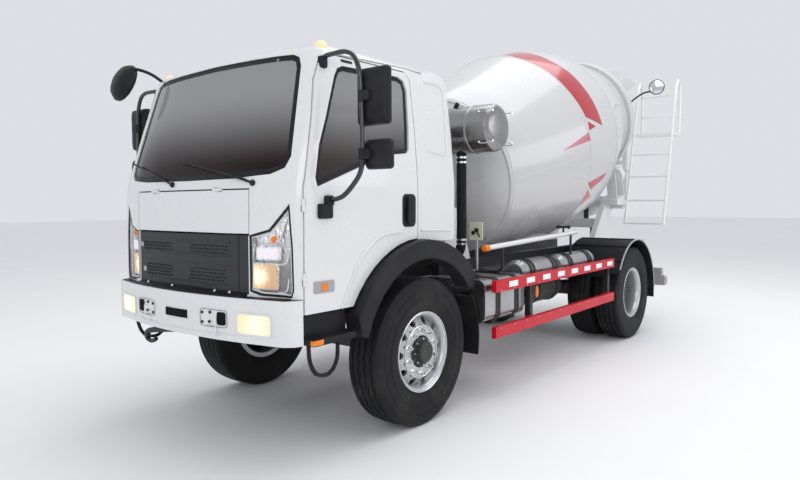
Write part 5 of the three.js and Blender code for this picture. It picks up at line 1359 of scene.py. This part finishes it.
def outside_mirror(side, sign):
    """Two domed heads clamped to a bent tube that stands on the door."""
    node, body = f"mirror_{side}", body_of(f"mirror_{side}")
    shells, glass = Form(), Form()
    for x0, x1, z0, z1 in HEADS:
        rings = []
        for inward, y, radius in SHELL_RINGS:
            rings.append(shells.ring([at(u * sign, y, v) for u, v in rounded(
                x0 + inward, x1 - inward, z0 + inward, z1 - inward, radius, 5)]))
        shells.skin(rings)
        face = [at(u * sign, -0.779, v) for u, v in rounded(x0 + 0.014, x1 - 0.014, z0 + 0.014, z1 - 0.014, 0.02)]
        glass.skin([glass.ring(face), glass.ring([p + Vector((0, 0.003, 0)) for p in face])])
        middle = (z0 + z1) / 2
        shells.spin([(-0.033, 0.015), (-0.031, 0.0225), (0.031, 0.0225), (0.033, 0.015)],
                    at(1.186 * sign, -0.855, middle), (0, 0, 1), 20)
        shells.box(at(min(1.186 * sign, 1.245 * sign), -0.868, middle - 0.026),
                   at(max(1.186 * sign, 1.245 * sign), -0.826, middle + 0.026))
    place(f"mirror_heads_{side}", shells.bm, BLACK_PLASTIC, body, "black_plastic", (node,), bevel=0.002, degrees=24)
    place(f"mirror_faces_{side}", glass.bm, MIRROR_GLASS, body, "dark_glass")
    arm = Form().bar(smooth_curve([at(x * sign, y, z) for x, y, z in ARM], 5), 0.0145, 14)
    place(f"mirror_arm_{side}", arm.bm, BLACK_GLOSS, body, "black_plastic")
    feet = Form()
    for x0, x1, y0, y1, z0, z1 in FEET:
        feet.box(at(min(x0 * sign, x1 * sign), y0, z0), at(max(x0 * sign, x1 * sign), y1, z1))
    place(f"mirror_feet_{side}", feet.bm, BLACK_PLASTIC, body, "black_plastic", bevel=0.012)


for side, sign in (("left", 1), ("right", -1)):
    outside_mirror(side, sign)
    form = Form().spin([(-0.03, 0.04), (0.0, 0.04), (0.022, 0.034), (0.038, 0.018), (0.042, 0.002)],
                       at(0.805 * sign, -0.79, 2.474), (0.25 * sign, -0.3, 1), 24)
    place(f"roof_lamp_{side}", form.bm, ROOF_LAMP, "cab", "lamp_lens")
form = Form().spin([(0.022, 0.002), (0.022, 0.086), (0.0275, 0.087), (0.031, 0.06), (0.033, 0.002)],
                   HOPPER_MIRROR, HOPPER_VIEW, 40)
place("hopper_mirror_face", form.bm, MIRROR_GLASS, "chassis", "dark_glass")
turn = Vector((0, math.cos(math.radians(20)), -math.sin(math.radians(20))))
form = Form().spin([(0.018, 0.002), (0.018, 0.138), (0.0265, 0.14), (0.0275, 0.002)],
                   at(-1.15, -0.985, 2.48), turn, 40)
place("kerb_mirror_face", form.bm, MIRROR_GLASS, body_of("kerb_mirror"), "dark_glass")
pane = [at(u, 0.430, v) for u, v in rounded(-0.572, 0.572, 1.778, 2.212, 0.03)]
form = Form()
form.skin([form.ring(pane), form.ring([p + Vector((0, 0.006, 0)) for p in pane])])
place("rear_window", form.bm, WINDOW, "cab", "dark_glass")
seal = [at(u, 0.449, v) for u, v in rounded(-0.566, 0.566, 1.784, 2.206, 0.03)]
place("rear_window_seal", Form().bar(seal, 0.011, 8, loop=True).bm, RUBBER, "cab", "rubber_flap")

# %% [markdown]
# ## Seats
# A seat cushion is foam under stretched cloth, so its faces are crowned. Each pad starts as a
# slightly small block with an even grid; cloth simulation then swells it with a little air pressure.

# %% Padded seats
PAD_SHRINK, PAD_ROUND, PAD_VOXEL = Vector((0.014, 0.014, 0.014)), 0.028, 0.014
PAD_PRESSURE, PAD_FRAMES, PAD_SWELL = 4.0, 14, 0.02


def bake(made):
    solid = bpy.data.meshes.new_from_object(made.evaluated_get(bpy.context.evaluated_depsgraph_get()))
    made.modifiers.clear()
    made.data = solid


def swell(made):
    cloth = made.modifiers.new("cloth", "CLOTH")
    cloth.settings.use_pressure = True
    cloth.settings.uniform_pressure_force = PAD_PRESSURE
    cloth.settings.effector_weights.gravity = 0.0
    for moment in range(1, PAD_FRAMES + 1):
        bpy.context.scene.frame_set(moment)
    bake(made)
    bpy.context.scene.frame_set(1)


def pad(name, low, high, lean, body="cab"):
    """A crowned cushion. lean slides the top rearwards, as a backrest leans."""
    form = Form()
    lo, hi = Vector(low), Vector(high)
    form.box(lo + PAD_SHRINK, hi - PAD_SHRINK)
    for vert in form.bm.verts:
        vert.co.y += lean * (vert.co.z - lo.z) / (hi.z - lo.z)
    bmesh.ops.recalc_face_normals(form.bm, faces=form.bm.faces)
    bmesh.ops.bevel(form.bm, geom=form.bm.edges[:], offset=PAD_ROUND, segments=3, affect="EDGES", profile=0.5)
    mesh = bpy.data.meshes.new(name)
    form.bm.to_mesh(mesh)
    form.bm.free()
    made = bpy.data.objects.new(name, mesh)
    bpy.context.scene.collection.objects.link(made)
    remesh = made.modifiers.new("remesh", "REMESH")
    remesh.mode = "VOXEL"
    remesh.voxel_size = PAD_VOXEL
    bake(made)
    before = [v.co.copy() for v in made.data.vertices]
    swell(made)
    for vert, was in zip(made.data.vertices, before):
        moved = vert.co - was
        if moved.length > PAD_SWELL:
            vert.co = was + moved.normalized() * PAD_SWELL
    finer = made.modifiers.new("finer", "SUBSURF")
    finer.levels = finer.render_levels = 1
    bake(made)
    for face in made.data.polygons:
        face.use_smooth = True
    made.data.materials.append(CLOTH)
    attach(made, body)


for who, x0, x1, nodes_of in (("driver", 0.19, 0.67, "driver_seat"), ("passenger", -0.82, 0.06, "passenger_seat")):
    base = Form().box(at(x0 + 0.03, 0.02, 1.345), at(x1 - 0.03, 0.30, 1.505))
    place(f"{who}_seat_base", base.bm, BLACK_PLASTIC, "cab", "black_plastic", (nodes_of,), bevel=0.01)
    places = [(x0, x1)] if who == "driver" else [(x0, (x0 + x1) / 2 - 0.004), ((x0 + x1) / 2 + 0.004, x1)]
    for k, (a, b) in enumerate(places):
        pad(f"{who}_cushion_{k}", at(a, -0.215, 1.505), at(b, 0.215, 1.65), 0.0)
        pad(f"{who}_back_{k}", at(a + 0.01, 0.185, 1.64), at(b - 0.01, 0.30, 2.12), 0.085)
        pad(f"{who}_headrest_{k}", at((a + b) / 2 - 0.12, 0.285, 2.13), at((a + b) / 2 + 0.12, 0.385, 2.265), 0.0)
print("seats done")

# %% [markdown]
# ## Camera, floor and light
# A truck is big and shiny, so small lamps would show as hard spots in the paint. Large soft panels
# overhead and in front give long even highlights, and a pale sky fills the shade.

# %% Camera
LENS_MM, SENSOR_MM, CAMERA_AT = 28.96, 36.0, (3.612, -5.682, 1.545)
YAW, PITCH, ROLL = math.radians(-38.904), math.radians(-3.288), math.radians(-0.394)
ahead = Vector((math.sin(YAW) * math.cos(PITCH), math.cos(YAW) * math.cos(PITCH), math.sin(PITCH)))
level_right = Vector((math.cos(YAW), -math.sin(YAW), 0))
level_up = level_right.cross(ahead)
right = math.cos(ROLL) * level_right + math.sin(ROLL) * level_up
up = -math.sin(ROLL) * level_right + math.cos(ROLL) * level_up
camera_data = bpy.data.cameras.new("camera")
camera_data.lens = LENS_MM
camera_data.sensor_width = SENSOR_MM
camera = bpy.data.objects.new("camera", camera_data)
bpy.context.scene.collection.objects.link(camera)
camera.matrix_world = Matrix((
    (right.x, up.x, -ahead.x, CAMERA_AT[0]), (right.y, up.y, -ahead.y, CAMERA_AT[1]),
    (right.z, up.z, -ahead.z, CAMERA_AT[2]), (0, 0, 0, 1)))
bpy.context.scene.camera = camera

# %% Floor
FAR, UNDER = 60, -0.001
floor_shader = Shader("pale_floor", Roughness=0.85)
cloud = floor_shader.noise(1.2, 3.0)
floor_shader.set("Base Color", floor_shader.mix(cloud, grey(0.86), grey(0.91)))
form = Form()
form.bm.faces.new(form.ring([(-FAR, -FAR, UNDER), (FAR, -FAR, UNDER), (FAR, FAR, UNDER), (-FAR, FAR, UNDER)]))
floor_mesh = bpy.data.meshes.new("floor")
form.bm.to_mesh(floor_mesh)
floor = bpy.data.objects.new("floor", floor_mesh)
floor_mesh.materials.append(floor_shader.material)
bpy.context.scene.collection.objects.link(floor)


# %% Lights
def soft_panel(name, place_at, aim_at, size, power):
    panel = bpy.data.lights.new(name, "AREA")
    panel.shape = "RECTANGLE"
    panel.size, panel.size_y = size
    panel.energy = power
    made = bpy.data.objects.new(name, panel)
    made.location = place_at
    made.rotation_euler = (Vector(aim_at) - Vector(place_at)).to_track_quat("-Z", "Y").to_euler()
    bpy.context.scene.collection.objects.link(made)


soft_panel("overhead", (1.0, 1.0, 8.5), (0, 0, 0.8), (9, 7), 340)
soft_panel("front_fill", (5.5, -9.5, 4.5), (0, -1.5, 1.3), (6, 4), 150)
soft_panel("side_fill", (8.5, 3.0, 3.5), (0, 1.0, 1.4), (6, 3), 90)
world = bpy.data.worlds.new("sky")
world.use_nodes = True
world.node_tree.nodes["Background"].inputs[0].default_value = (0.93, 0.95, 1.0, 1)
world.node_tree.nodes["Background"].inputs[1].default_value = 0.78
bpy.context.scene.world = world
bpy.context.scene.view_settings.view_transform = "Standard"
